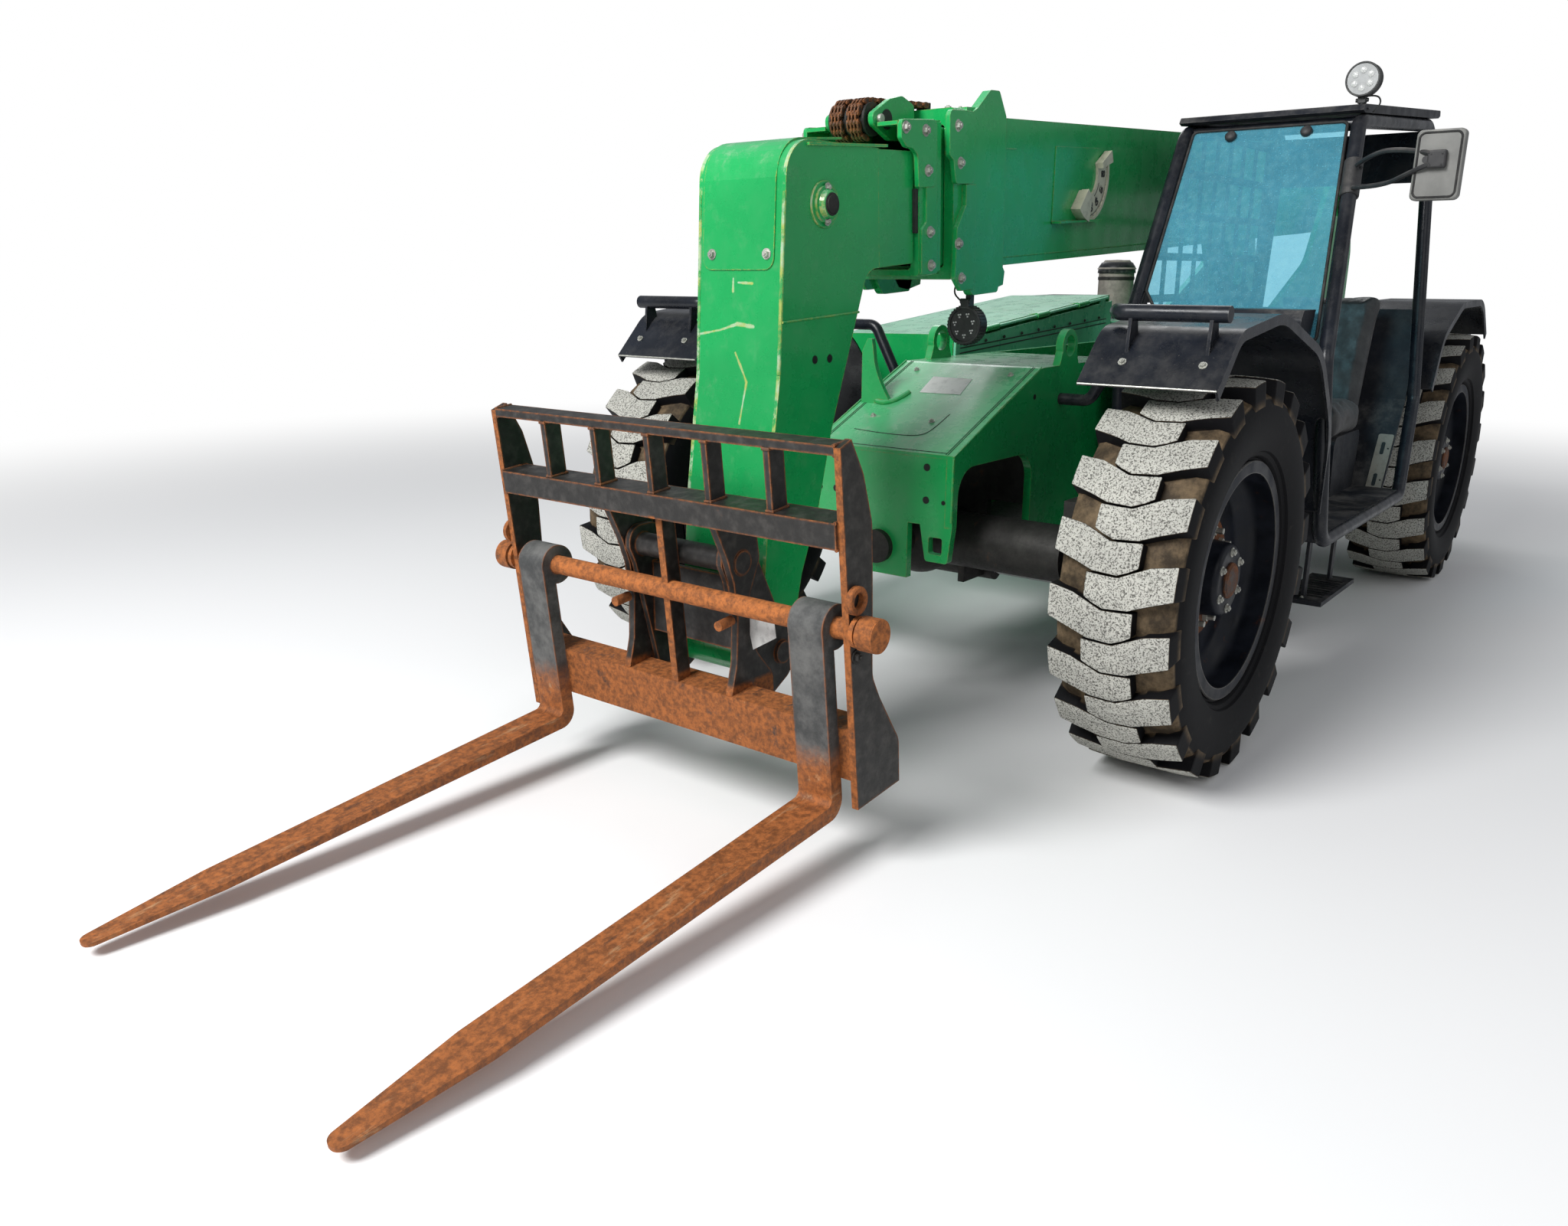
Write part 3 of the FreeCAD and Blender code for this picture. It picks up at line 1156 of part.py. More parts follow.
def all_nodes():
    """Every node by name, in the frame that has the front axle at x = 0."""
    tubes = cab_frame()
    nodes = {
        "frame_nose": frame_nose(), "frame_crossmembers": frame_crossmembers(),
        "counterweight": counterweight(), "engine_block": engine_block(),
        "engine_tray": engine_tray(), "engine_hood": engine_hood(),
        "exhaust": exhaust(), "fuel_tank": fuel_tank(),
        "cab_frame": tubes, "cab_tub": cab_tub(tubes), "cab_roof": cab_roof(),
        "windscreen": windscreen().cut(tubes), "mesh_guard": mesh_guard().cut(tubes),
        "seat_base": seat_base(), "seat": seat(),
        "cab_controls": Part.makeCompound([steering_column(), side_console()]),
        "left_mirror": left_mirror_node(tubes), "work_lamp": work_lamp(),
        "boom_outer": boom_outer(), "boom_mid": boom_mid(), "boom_inner": boom_inner(),
        "boom_head": boom_head(), "extend_chain": extend_chain(),
        "angle_dial": angle_dial(), "hanging_lamp": hanging_lamp(),
        "lift_barrel": lift_barrel(), "lift_rod": lift_rod(),
        "coupler": coupler(), "carriage": carriage(), "fork_shaft": fork_shaft(),
        "left_fork": fork(1), "right_fork": fork(-1)}
    rail = frame_rail()
    nodes["left_frame_rail"] = rail
    nodes["right_frame_rail"] = mirrored(rail)
    fender = front_fender()
    nodes["front_left_fender"] = fender.cut(tubes).cut(nodes["cab_tub"])
    nodes["front_right_fender"] = fuse([mirrored(fender)] + list(right_mirror()))
    fender = rear_fender()
    nodes["rear_left_fender"] = fender
    nodes["rear_right_fender"] = mirrored(fender)
    tyre = wheel_tyre()
    rim = wheel_rim()
    for end, x, arm_side in (("front", 0.0, -1), ("rear", -wheelbase, 1)):
        nodes[end + "_axle"] = placed(axle(arm_side), x, 0, tyre_radius)
        nodes[end + "_tie_rod"] = placed(tie_rod(arm_side), x, 0, tyre_radius)
        left_knuckle = placed(knuckle(arm_side), x, kingpin_y, tyre_radius)
        left_tyre = placed(tyre, x, track / 2, tyre_radius)
        left_rim = placed(rim, x, track / 2, tyre_radius)
        for part_name, shape in (("knuckle", left_knuckle), ("tyre", left_tyre), ("rim", left_rim)):
            nodes[end + "_left_" + part_name] = shape
            nodes[end + "_right_" + part_name] = mirrored(shape)
    return nodes


def origin_shift(nodes):
    """Move that brings the middle of the whole machine over the origin."""
    whole = FreeCAD.BoundBox()
    for shape in nodes.values():
        whole.add(shape.optimalBoundingBox(False))
    return V(-(whole.XMin + whole.XMax) / 2, -(whole.YMin + whole.YMax) / 2, -whole.ZMin)


nodes = all_nodes()
shift = origin_shift(nodes)
os.makedirs("parts", exist_ok=True)
for name, shape in nodes.items():
    shape.translate(shift)
    shape.exportStep("parts/" + name + ".step")
    print(name, len(shape.Solids), shape.isValid(), round(shape.Volume / 1e9, 5))
print("origin shift", round(shift.x, 3), round(shift.y, 3), round(shift.z, 3))
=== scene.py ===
import json
import math

import bmesh
import bpy
from bpy.props import FloatProperty, FloatVectorProperty, IntProperty, PointerProperty
from mathutils import Matrix, Vector

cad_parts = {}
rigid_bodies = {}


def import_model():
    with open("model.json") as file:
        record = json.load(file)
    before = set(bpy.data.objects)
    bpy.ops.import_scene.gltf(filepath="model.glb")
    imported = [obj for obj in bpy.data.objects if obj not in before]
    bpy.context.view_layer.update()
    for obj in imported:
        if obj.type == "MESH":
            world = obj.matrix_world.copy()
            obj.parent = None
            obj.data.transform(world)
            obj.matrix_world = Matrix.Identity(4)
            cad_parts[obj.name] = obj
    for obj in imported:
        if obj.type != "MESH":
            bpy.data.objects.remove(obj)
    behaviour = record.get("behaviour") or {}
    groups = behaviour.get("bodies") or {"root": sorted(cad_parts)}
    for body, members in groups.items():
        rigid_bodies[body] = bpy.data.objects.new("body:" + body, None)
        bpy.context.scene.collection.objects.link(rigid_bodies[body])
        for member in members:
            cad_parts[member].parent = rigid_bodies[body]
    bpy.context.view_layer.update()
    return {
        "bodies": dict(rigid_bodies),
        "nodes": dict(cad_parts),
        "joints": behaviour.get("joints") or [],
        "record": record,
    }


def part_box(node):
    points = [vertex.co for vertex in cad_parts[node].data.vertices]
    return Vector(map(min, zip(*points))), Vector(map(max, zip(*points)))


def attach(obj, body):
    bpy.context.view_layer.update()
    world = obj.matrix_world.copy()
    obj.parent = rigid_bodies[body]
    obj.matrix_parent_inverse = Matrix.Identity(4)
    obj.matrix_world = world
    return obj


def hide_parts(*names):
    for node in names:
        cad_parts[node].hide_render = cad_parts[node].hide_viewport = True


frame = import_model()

bl_info = {
    "name": "Telehandler Finish",
    "version": (1, 0, 0),
    "blender": (4, 5, 0),
    "location": "View3D > Sidebar > Telehandler",
    "description": "Finish, small pieces and studio of a telehandler around its packed frame",
    "category": "Object",
}

# Places that come from the frame, in metres


def node_centre(node):
    """Middle of a node's box."""
    low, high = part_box(node)
    return (low + high) / 2


WHEEL = node_centre("front_left_tyre")
AXLE_X = WHEEL.x
TRACK_HALF = WHEEL.y
TYRE_RADIUS = WHEEL.z
REAR_X = node_centre("rear_left_tyre").x
WHEELS = (
    ("front_left", AXLE_X, 1),
    ("front_right", AXLE_X, -1),
    ("rear_left", REAR_X, 1),
    ("rear_right", REAR_X, -1),
)
BOOM_PIVOT = Vector((REAR_X - 0.7, 0, 1.96))
BOOM_SLOPE = math.radians(3.1)
CARRIAGE_LEAN = math.radians(6.0)
SHAFT = Vector((AXLE_X + 1.36, 0, 0.7))


def at(x, y, z):
    """Point given from the front axle, on the ground, as a point of the frame."""
    return Vector((x + AXLE_X, y, z))


def on_boom(u, y, v):
    """Point given along (u), beside (y) and above (v) the boom's axis from its pivot."""
    return BOOM_PIVOT + Matrix.Rotation(BOOM_SLOPE, 3, "Y") @ Vector((u, y, v))


def on_carriage(x, y, z):
    """Point of the upright carriage about the fork shaft, leaned as it stands."""
    return SHAFT + Matrix.Rotation(CARRIAGE_LEAN, 3, "Y") @ Vector((x, y, z))


# Sizes and colours that a user would change


class TelehandlerFinish(bpy.types.PropertyGroup):
    """Sizes and colours of the finish."""

    paint: FloatVectorProperty(
        name="Body paint", description="Colour of the boom, frame and hood",
        subtype="COLOR", size=3, min=0, max=1, default=(0.007, 0.37, 0.090))
    # The faint blue in the black's default colour is a painted reflection of the sky.
    black: FloatVectorProperty(
        name="Black paint", description="Colour of the cab, fenders and carriage",
        subtype="COLOR", size=3, min=0, max=1, default=(0.007, 0.009, 0.014))
    rust: FloatVectorProperty(
        name="Rust", description="Colour of the worn forks and bars",
        subtype="COLOR", size=3, min=0, max=1, default=(0.30, 0.095, 0.022))
    dust: FloatVectorProperty(
        name="Dust", description="Colour of the pale dust on tread and deck",
        subtype="COLOR", size=3, min=0, max=1, default=(0.50, 0.47, 0.42))
    lug_count: IntProperty(
        name="Lugs per row", description="Tread lugs round each side of a tyre", default=20, min=12, max=32)
    lug_height: FloatProperty(
        name="Lug height", description="Depth of the tread", default=0.042, min=0.01, max=0.08,
        subtype="DISTANCE", unit="LENGTH")
    bolt_size: FloatProperty(
        name="Bolt size", description="Width across a large bolt's head", default=0.030, min=0.01, max=0.06,
        subtype="DISTANCE", unit="LENGTH")
    stud_count: IntProperty(
        name="Wheel nuts", description="Nuts round each hub", default=10, min=5, max=16)
    pad_swell: FloatProperty(
        name="Seat swell", description="Furthest that a point of the seat pads may move", default=0.018,
        min=0.0, max=0.05, subtype="DISTANCE", unit="LENGTH")


def finish():
    """The scene's finish settings."""
    return bpy.context.scene.telehandler


# Material building


class Nodes:
    """Small helper that adds and links shader nodes."""

    def __init__(self, made):
        self.material = made
        self.tree = made.node_tree
        self.shader = self.tree.nodes["Principled BSDF"]
        coords = self.tree.nodes.new("ShaderNodeTexCoord")
        self.position = coords.outputs["Object"]
        self.facing = coords.outputs["Normal"]

    def add(self, kind, **sockets):
        """New node of that kind, with values or links for its named inputs."""
        node = self.tree.nodes.new(kind)
        for name, value in sockets.items():
            self.feed(node.inputs[name.replace("_", " ")], value)
        return node

    def feed(self, socket, value):
        """Set a socket's value, or link what feeds it."""
        if isinstance(value, bpy.types.NodeSocket):
            self.tree.links.new(value, socket)
        else:
            socket.default_value = value

    def stretched(self, scale):
        """Object coordinates scaled by three factors."""
        node = self.add("ShaderNodeMapping", Vector=self.position)
        node.inputs["Scale"].default_value = scale
        return node.outputs["Vector"]

    def noise(self, scale, detail=4.0, roughness=0.55, vector=None, distortion=0.0):
        """Noise value from 0 to 1."""
        node = self.add("ShaderNodeTexNoise", Vector=vector or self.position, Scale=scale, Detail=detail,
                        Roughness=roughness, Distortion=distortion)
        return node.outputs["Fac"]

    def cells(self, scale, feature="F1", vector=None):
        """Distance to the nearest scattered point."""
        node = self.add("ShaderNodeTexVoronoi", Vector=vector or self.position, Scale=scale)
        node.feature = feature
        return node.outputs["Distance"]

    def step(self, value, low, high, out_low=0.0, out_high=1.0):
        """Smooth step of a value between two limits."""
        node = self.add("ShaderNodeMapRange", Value=value)
        node.interpolation_type = "SMOOTHSTEP"
        for name, number in (("From Min", low), ("From Max", high), ("To Min", out_low),
                             ("To Max", out_high)):
            node.inputs[name].default_value = number
        return node.outputs["Result"]

    def math(self, operation, first, second=0.0):
        """Result of a math node."""
        node = self.tree.nodes.new("ShaderNodeMath")
        node.operation = operation
        self.feed(node.inputs[0], first)
        self.feed(node.inputs[1], second)
        return node.outputs[0]

    def times(self, first, second):
        """Product of two values."""
        return self.math("MULTIPLY", first, second)

    def mix(self, share, first, second):
        """Colour mixed from two colours."""
        node = self.tree.nodes.new("ShaderNodeMix")
        node.data_type = "RGBA"
        colours = [s for s in node.inputs if s.type == "RGBA"]
        self.feed(node.inputs[0], share)
        for socket, value in zip(colours, (first, second)):
            self.feed(socket, value if isinstance(value, bpy.types.NodeSocket) else (*value, 1.0))
        return next(s for s in node.outputs if s.type == "RGBA")

    def axis(self, index):
        """One object coordinate."""
        node = self.add("ShaderNodeSeparateXYZ", Vector=self.position)
        return node.outputs[index]

    def facing_up(self):
        """How far the surface faces up, from -1 to 1, as the piece stands at rest."""
        node = self.add("ShaderNodeSeparateXYZ", Vector=self.facing)
        return node.outputs["Z"]

    def edges(self, radius, low=0.35, high=0.75, grain=60.0):
        """Share of wear along convex edges, broken up by noise."""
        bevel = self.tree.nodes.new("ShaderNodeBevel")
        bevel.samples = 4
        bevel.inputs["Radius"].default_value = radius
        geometry = self.tree.nodes.new("ShaderNodeNewGeometry")
        dot = self.tree.nodes.new("ShaderNodeVectorMath")
        dot.operation = "DOT_PRODUCT"
        self.tree.links.new(bevel.outputs["Normal"], dot.inputs[0])
        self.tree.links.new(geometry.outputs["True Normal"], dot.inputs[1])
        turned = self.math("SUBTRACT", 1.0, dot.outputs["Value"])
        worn = self.step(turned, 0.01, 0.12)
        return self.math("MULTIPLY", worn, self.step(self.noise(grain, 5.0, 0.7), low, high))

    def bump(self, height, strength, distance, normal=None):
        """Bump from a height, after another normal if one is given."""
        node = self.add("ShaderNodeBump", Height=height)
        node.inputs["Strength"].default_value = strength
        node.inputs["Distance"].default_value = distance
        if normal is not None:
            self.tree.links.new(normal, node.inputs["Normal"])
        return node.outputs["Normal"]

    def finish(self, colour, roughness, normal=None, metallic=0.0, specular=0.5):
        """Connect the shader and return the material."""
        self.feed(self.shader.inputs["Base Color"],
                  colour if isinstance(colour, bpy.types.NodeSocket) else (*colour, 1.0))
        self.feed(self.shader.inputs["Roughness"], roughness)
        self.feed(self.shader.inputs["Metallic"], metallic)
        self.shader.inputs["Specular IOR Level"].default_value = specular
        if normal is not None:
            self.tree.links.new(normal, self.shader.inputs["Normal"])
        return self.material


def new_nodes(name):
    """Helper on a new material."""
    made = bpy.data.materials.new(name)
    made.use_nodes = True
    return Nodes(made)


def shade(colour, factor):
    """A colour made darker or lighter."""
    return tuple(min(1.0, c * factor) for c in colour)


def worn_paint(name, base, painted_top_light=0.35, pale=(0.30, 0.78, 0.50), edge_colour=(0.32, 0.20, 0.05), edge=0.8):
    """Gloss paint: paler on top as painted sunlight, dusty on top, streaked below, rubbed through along its
    edges.
    """
    n = new_nodes(name)
    cloud = n.step(n.noise(1.3, 3.0), 0.35, 0.68)
    colour = n.mix(cloud, shade(base, 0.80), base)
    # Painted sunlight: faces that look up are mixed towards the pale colour, more where the noise allows.
    up = n.step(n.facing_up(), 0.35, 0.98)
    painted_sunlit_top = n.times(up, n.step(n.noise(2.1, 5.0, 0.6), 0.25, 0.8, 0.55, 1.0))
    colour = n.mix(n.times(painted_sunlit_top, painted_top_light), colour, pale)
    streaks = n.step(n.noise(1.0, 6.0, 0.65, n.stretched((9.0, 9.0, 1.1))), 0.55, 0.85)
    colour = n.mix(n.times(streaks, 0.30), colour, shade(base, 0.35))
    dust = n.times(n.step(n.noise(16.0, 8.0, 0.75), 0.50, 0.80),
                   n.step(n.facing_up(), -0.2, 0.9, 0.03, 0.50))
    colour = n.mix(dust, colour, finish().dust)
    chips = n.step(n.noise(42.0, 6.0, 0.75), 0.70, 0.74)
    chips = n.times(chips, n.step(n.noise(2.7, 2.0), 0.5, 0.62))
    colour = n.mix(n.times(chips, 0.8), colour, edge_colour)
    worn = n.edges(0.006)
    colour = n.mix(n.times(worn, edge), colour, edge_colour)
    rough = n.step(n.noise(11.0, 5.0, 0.6), 0.3, 0.8, 0.22, 0.42)
    rough = n.math("ADD", rough, n.times(dust, 0.5))
    normal = n.bump(n.noise(28.0, 4.0, 0.5), 0.10, 0.004)
    normal = n.bump(n.noise(320.0, 2.0), 0.06, 0.0006, normal)
    n.shader.inputs["Coat Weight"].default_value = 0.35
    n.shader.inputs["Coat Roughness"].default_value = 0.12
    return n.finish(colour, rough, normal)


def scratch(n, start, end, width, axes=(0.0, 1.0, 1.0)):
    """Mask of one wandering scratch between two points, seen across the given axes."""
    flat = n.tree.nodes.new("ShaderNodeVectorMath")
    flat.operation = "MULTIPLY"
    n.tree.links.new(n.position, flat.inputs[0])
    flat.inputs[1].default_value = axes
    keep = Vector(axes)
    first = Vector([a * b for a, b in zip(start, keep)])
    last = Vector([a * b for a, b in zip(end, keep)])
    run = last - first
    offset = n.tree.nodes.new("ShaderNodeVectorMath")
    offset.operation = "SUBTRACT"
    n.tree.links.new(flat.outputs[0], offset.inputs[0])
    offset.inputs[1].default_value = first
    along = n.tree.nodes.new("ShaderNodeVectorMath")
    along.operation = "DOT_PRODUCT"
    n.tree.links.new(offset.outputs[0], along.inputs[0])
    along.inputs[1].default_value = run.normalized()
    held = n.add("ShaderNodeClamp", Value=along.outputs["Value"], Min=0.0, Max=run.length)
    foot = n.tree.nodes.new("ShaderNodeVectorMath")
    foot.operation = "SCALE"
    foot.inputs[0].default_value = run.normalized()
    n.tree.links.new(held.outputs[0], foot.inputs["Scale"])
    away = n.tree.nodes.new("ShaderNodeVectorMath")
    away.operation = "DISTANCE"
    n.tree.links.new(offset.outputs[0], away.inputs[0])
    n.tree.links.new(foot.outputs[0], away.inputs[1])
    wander = n.times(n.noise(24.0, 4.0, 0.6), width * 3.0)
    return n.step(n.math("SUBTRACT", away.outputs["Value"], wander), -width, 0.0, 1.0, 0.0)


# Ends of the head's scratches across the front, and their width
SCRATCHES = (
    ((0, -0.009, 1.355), (0, 0.038, 1.273), 0.0035),
    ((0, 0.038, 1.273), (0, 0.024, 1.153), 0.0030),
    ((0, -0.155, 1.405), (0, -0.071, 1.419), 0.0030),
    ((0, -0.071, 1.419), (0, -0.004, 1.438), 0.0035),
    ((0, -0.004, 1.438), (0, 0.058, 1.432), 0.0045),
    ((0, -0.023, 1.566), (0, -0.023, 1.531), 0.0035),
    ((0, -0.004, 1.555), (0, 0.050, 1.553), 0.0030),
    ((0, -0.090, 1.010), (0, -0.060, 0.960), 0.0040),
)


def head_paint(name, base):
    """The body paint with the scraped front face and edges of the boom head."""
    n = Nodes(worn_paint(name, base, painted_top_light=0.15, edge_colour=(0.50, 0.40, 0.06), edge=1.0))
    total = None
    for start, end, width in SCRATCHES:
        mask = scratch(n, start, end, width)
        total = mask if total is None else n.math("MAXIMUM", total, mask)
    split = n.add("ShaderNodeSeparateXYZ", Vector=n.facing)
    beside = n.math("ABSOLUTE", n.axis(1))
    rim = n.times(n.step(beside, 0.1500, 0.1515), n.step(n.noise(13.0, 6.0, 0.75), 0.44, 0.56))
    total = n.math("MAXIMUM", total, rim)
    total = n.times(total, n.step(split.outputs["X"], 0.3, 0.6))
    before = n.shader.inputs["Base Color"].links[0].from_socket
    tint = n.mix(n.step(n.noise(18.0, 4.0), 0.4, 0.6), (0.60, 0.50, 0.12), (0.62, 0.66, 0.52))
    n.feed(n.shader.inputs["Base Color"], n.mix(n.times(total, 0.55), before, tint))
    return n.material


def rusty_steel(name, rust_share=0.6, dark=(0.012, 0.011, 0.010), bright=1.0, where=None):
    """Steel whose black paint is worn off to rust, more or less of it, and fully where a mask says."""
    n = new_nodes(name)
    rust = finish().rust
    patch = n.noise(6.0, 8.0, 0.68)
    low = 0.80 - 0.55 * rust_share
    mask = n.step(patch, low, low + 0.16)
    worn = n.edges(0.010, 0.25, 0.55, 40.0)
    mask = n.math("MAXIMUM", mask, worn)
    if where is not None:
        mask = n.math("MAXIMUM", mask, where(n))
    fine = n.noise(55.0, 8.0, 0.75)
    orange = n.mix(n.step(fine, 0.35, 0.65), shade(rust, 0.45 * bright), shade(rust, 1.25 * bright))
    pale = n.step(n.noise(24.0, 5.0, 0.7, n.stretched((1.0, 4.0, 4.0))), 0.62, 0.78)
    orange = n.mix(n.times(pale, 0.55), orange, (0.55, 0.33, 0.16))
    black = n.mix(n.step(n.noise(30.0, 5.0), 0.4, 0.8), dark, shade(dark, 4.0))
    colour = n.mix(mask, black, orange)
    rough = n.math("ADD", n.times(mask, 0.30), n.step(fine, 0.2, 0.8, 0.42, 0.60))
    normal = n.bump(n.noise(90.0, 8.0, 0.8), 0.35, 0.0025)
    normal = n.bump(mask, 0.25, 0.0015, normal)
    return n.finish(colour, rough, normal, 0.1)


def carriage_steel(name):
    """Carriage: black, rusted through on its lower bar, its post and the front edges of its sides."""

    def bare(n):
        ahead = n.add("ShaderNodeSeparateXYZ", Vector=n.facing)
        front = n.step(ahead.outputs["X"], 0.55, 0.80)
        beside = n.math("ABSOLUTE", n.axis(1))
        low_bar = n.times(n.step(n.axis(2), 0.450, 0.430), n.step(beside, 0.6445, 0.6435))
        side_edge = n.step(beside, 0.6440, 0.6450)
        post = n.times(n.step(beside, 0.0135, 0.0125), n.step(n.axis(2), 0.93, 0.92))
        front_share = n.times(front, n.math("MAXIMUM", side_edge, post))
        patches = n.step(n.noise(9.0, 7.0, 0.7), 0.30, 0.44)
        return n.times(n.math("MAXIMUM", low_bar, front_share), patches)

    return rusty_steel(name, 0.22, where=bare)


def fork_shank(name):
    """Fork steel: grey painted shank, rusty heel and blade."""
    n = new_nodes(name)
    rust = finish().rust
    shank = n.step(n.math("ADD", n.axis(2), n.times(n.noise(7.0, 5.0, 0.7), 0.16)), 0.36, 0.46)
    fine = n.noise(48.0, 8.0, 0.75)
    along = n.noise(5.0, 7.0, 0.7, n.stretched((1.0, 6.0, 6.0)))
    orange = n.mix(n.step(fine, 0.35, 0.68), shade(rust, 0.50), shade(rust, 1.35))
    orange = n.mix(n.times(n.step(along, 0.56, 0.72), 0.6), orange, (0.52, 0.33, 0.17))
    orange = n.mix(n.times(n.step(along, 0.44, 0.30), 0.75), orange, (0.035, 0.018, 0.012))
    grey = n.mix(n.step(n.noise(9.0, 6.0, 0.7), 0.35, 0.70), (0.040, 0.042, 0.042), (0.125, 0.125, 0.120))
    grey = n.mix(n.edges(0.010, 0.30, 0.60, 30.0), grey, shade(rust, 0.9))
    colour = n.mix(shank, orange, grey)
    normal = n.bump(n.noise(80.0, 8.0, 0.8), 0.35, 0.0025)
    return n.finish(colour, n.step(fine, 0.2, 0.8, 0.55, 0.85), normal, 0.1)


def black_paint(name, gloss=0.22, dusty=0.22):
    """Black gloss paint with dust on top, fine chips and rubbed edges."""
    n = new_nodes(name)
    base = finish().black
    colour = n.mix(n.step(n.noise(3.0, 5.0), 0.3, 0.7), shade(base, 0.7), shade(base, 1.4))
    up = n.step(n.facing_up(), 0.0, 0.95, 0.05, 0.40 * dusty)
    dust = n.times(n.step(n.noise(8.0, 8.0, 0.72), 0.40, 0.75), up)
    colour = n.mix(dust, colour, shade(finish().dust, 0.8))
    specks = n.times(n.step(n.noise(120.0, 3.0, 0.7), 0.66, 0.72), 0.3)
    colour = n.mix(specks, colour, (0.16, 0.15, 0.13))
    colour = n.mix(n.times(n.edges(0.004), 0.55), colour, (0.20, 0.19, 0.18))
    rough = n.math("ADD", n.step(n.noise(14.0, 4.0), 0.3, 0.7, gloss, gloss + 0.16), n.times(dust, 0.8))
    normal = n.bump(n.noise(36.0, 4.0), 0.10, 0.003)
    return n.finish(colour, rough, normal, 0.0, 0.32)


def tread_rubber(name):
    """Tyre rubber: speckled dusty lug faces, earthy grooves and a plain black sidewall."""
    n = new_nodes(name)
    mark = n.tree.nodes.new("ShaderNodeAttribute")
    mark.attribute_name = "tread"
    top = n.step(mark.outputs["Fac"], 0.70, 0.90)
    floor = n.times(n.step(mark.outputs["Fac"], 0.30, 0.45), n.step(mark.outputs["Fac"], 0.70, 0.55))
    pale = n.mix(n.noise(6.0, 6.0, 0.7), (0.34, 0.34, 0.31), (0.60, 0.59, 0.53))
    fleck = n.step(n.noise(175.0, 3.0, 0.8), 0.525, 0.555)
    crumbs = n.step(n.cells(120.0), 0.20, 0.14)
    stone = n.math("SUBTRACT", 1.0, n.math("MAXIMUM", n.times(fleck, 0.85), crumbs))
    face = n.mix(stone, (0.035, 0.033, 0.030), pale)
    earth = n.mix(n.step(n.noise(14.0, 8.0, 0.7), 0.35, 0.7), (0.040, 0.030, 0.020), (0.17, 0.12, 0.070))
    side = n.mix(n.step(n.noise(22.0, 8.0, 0.7), 0.56, 0.80), (0.004, 0.004, 0.005), (0.022, 0.020, 0.018))
    colour = n.mix(floor, side, earth)
    colour = n.mix(top, colour, face)
    rough = n.math("ADD", 0.62, n.times(top, 0.25))
    normal = n.bump(n.times(stone, top), 0.4, 0.0012)
    normal = n.bump(n.noise(60.0, 6.0, 0.7), 0.30, 0.0015, normal)
    return n.finish(colour, rough, normal, 0.0, 0.12)


def wheel_black(name):
    """Rim enamel: near black, rubbed pale on the flange, rusty round the hub."""
    n = new_nodes(name)
    base = (0.004, 0.005, 0.008)
    colour = n.mix(n.step(n.noise(5.0, 6.0, 0.65), 0.35, 0.75), base, shade(base, 3.2))
    rust = n.step(n.noise(13.0, 8.0, 0.75), 0.60, 0.72)
    colour = n.mix(n.times(rust, 0.55), colour, shade(finish().rust, 0.35))
    colour = n.mix(n.times(n.edges(0.007, 0.2, 0.5, 30.0), 0.8), colour, (0.20, 0.19, 0.17))
    normal = n.bump(n.noise(70.0, 6.0, 0.7), 0.20, 0.0015)
    return n.finish(colour, n.step(n.noise(10.0, 4.0), 0.3, 0.7, 0.32, 0.55), normal, 0.0, 0.22)


def plain_metal(name, colour, roughness=0.35, metallic=0.9, grain=90.0):
    """Bare or plated metal with fine scuffs and a little tarnish."""
    n = new_nodes(name)
    tone = n.mix(n.step(n.noise(18.0, 6.0, 0.7), 0.3, 0.75), shade(colour, 0.55), colour)
    tone = n.mix(n.times(n.step(n.noise(9.0, 6.0, 0.7), 0.62, 0.75), 0.5), tone, shade(finish().rust, 0.5))
    scuffs = n.noise(grain, 5.0, 0.7)
    rough = n.step(scuffs, 0.2, 0.8, roughness, roughness + 0.25)
    return n.finish(tone, rough, n.bump(scuffs, 0.15, 0.0008), metallic)


def moulded(name, colour, roughness=0.55, grain=450.0, dust=0.25):
    """Moulded plastic or rubber with a fine leathery grain and settled dust."""
    n = new_nodes(name)
    tone = n.mix(n.step(n.noise(7.0, 5.0), 0.3, 0.7), shade(colour, 0.75), shade(colour, 1.25))
    up = n.step(n.facing_up(), 0.1, 0.95, 0.05, dust)
    settled = n.times(up, n.step(n.noise(12.0, 7.0, 0.7), 0.40, 0.75))
    tone = n.mix(settled, tone, finish().dust)
    normal = n.bump(n.cells(grain), 0.20, 0.0006)
    return n.finish(tone, n.math("ADD", roughness, n.times(settled, 0.4)), normal)


def seat_vinyl(name):
    """Black seat vinyl with a fine grain and shallow creases."""
    n = new_nodes(name)
    tone = n.mix(n.step(n.noise(9.0, 6.0, 0.6), 0.3, 0.75), (0.010, 0.010, 0.011), (0.042, 0.041, 0.040))
    normal = n.bump(n.cells(520.0), 0.25, 0.0006)
    normal = n.bump(n.noise(26.0, 5.0, 0.6), 0.25, 0.003, normal)
    n.shader.inputs["Sheen Weight"].default_value = 0.15
    return n.finish(tone, n.step(n.noise(20.0, 4.0), 0.3, 0.7, 0.40, 0.58), normal)


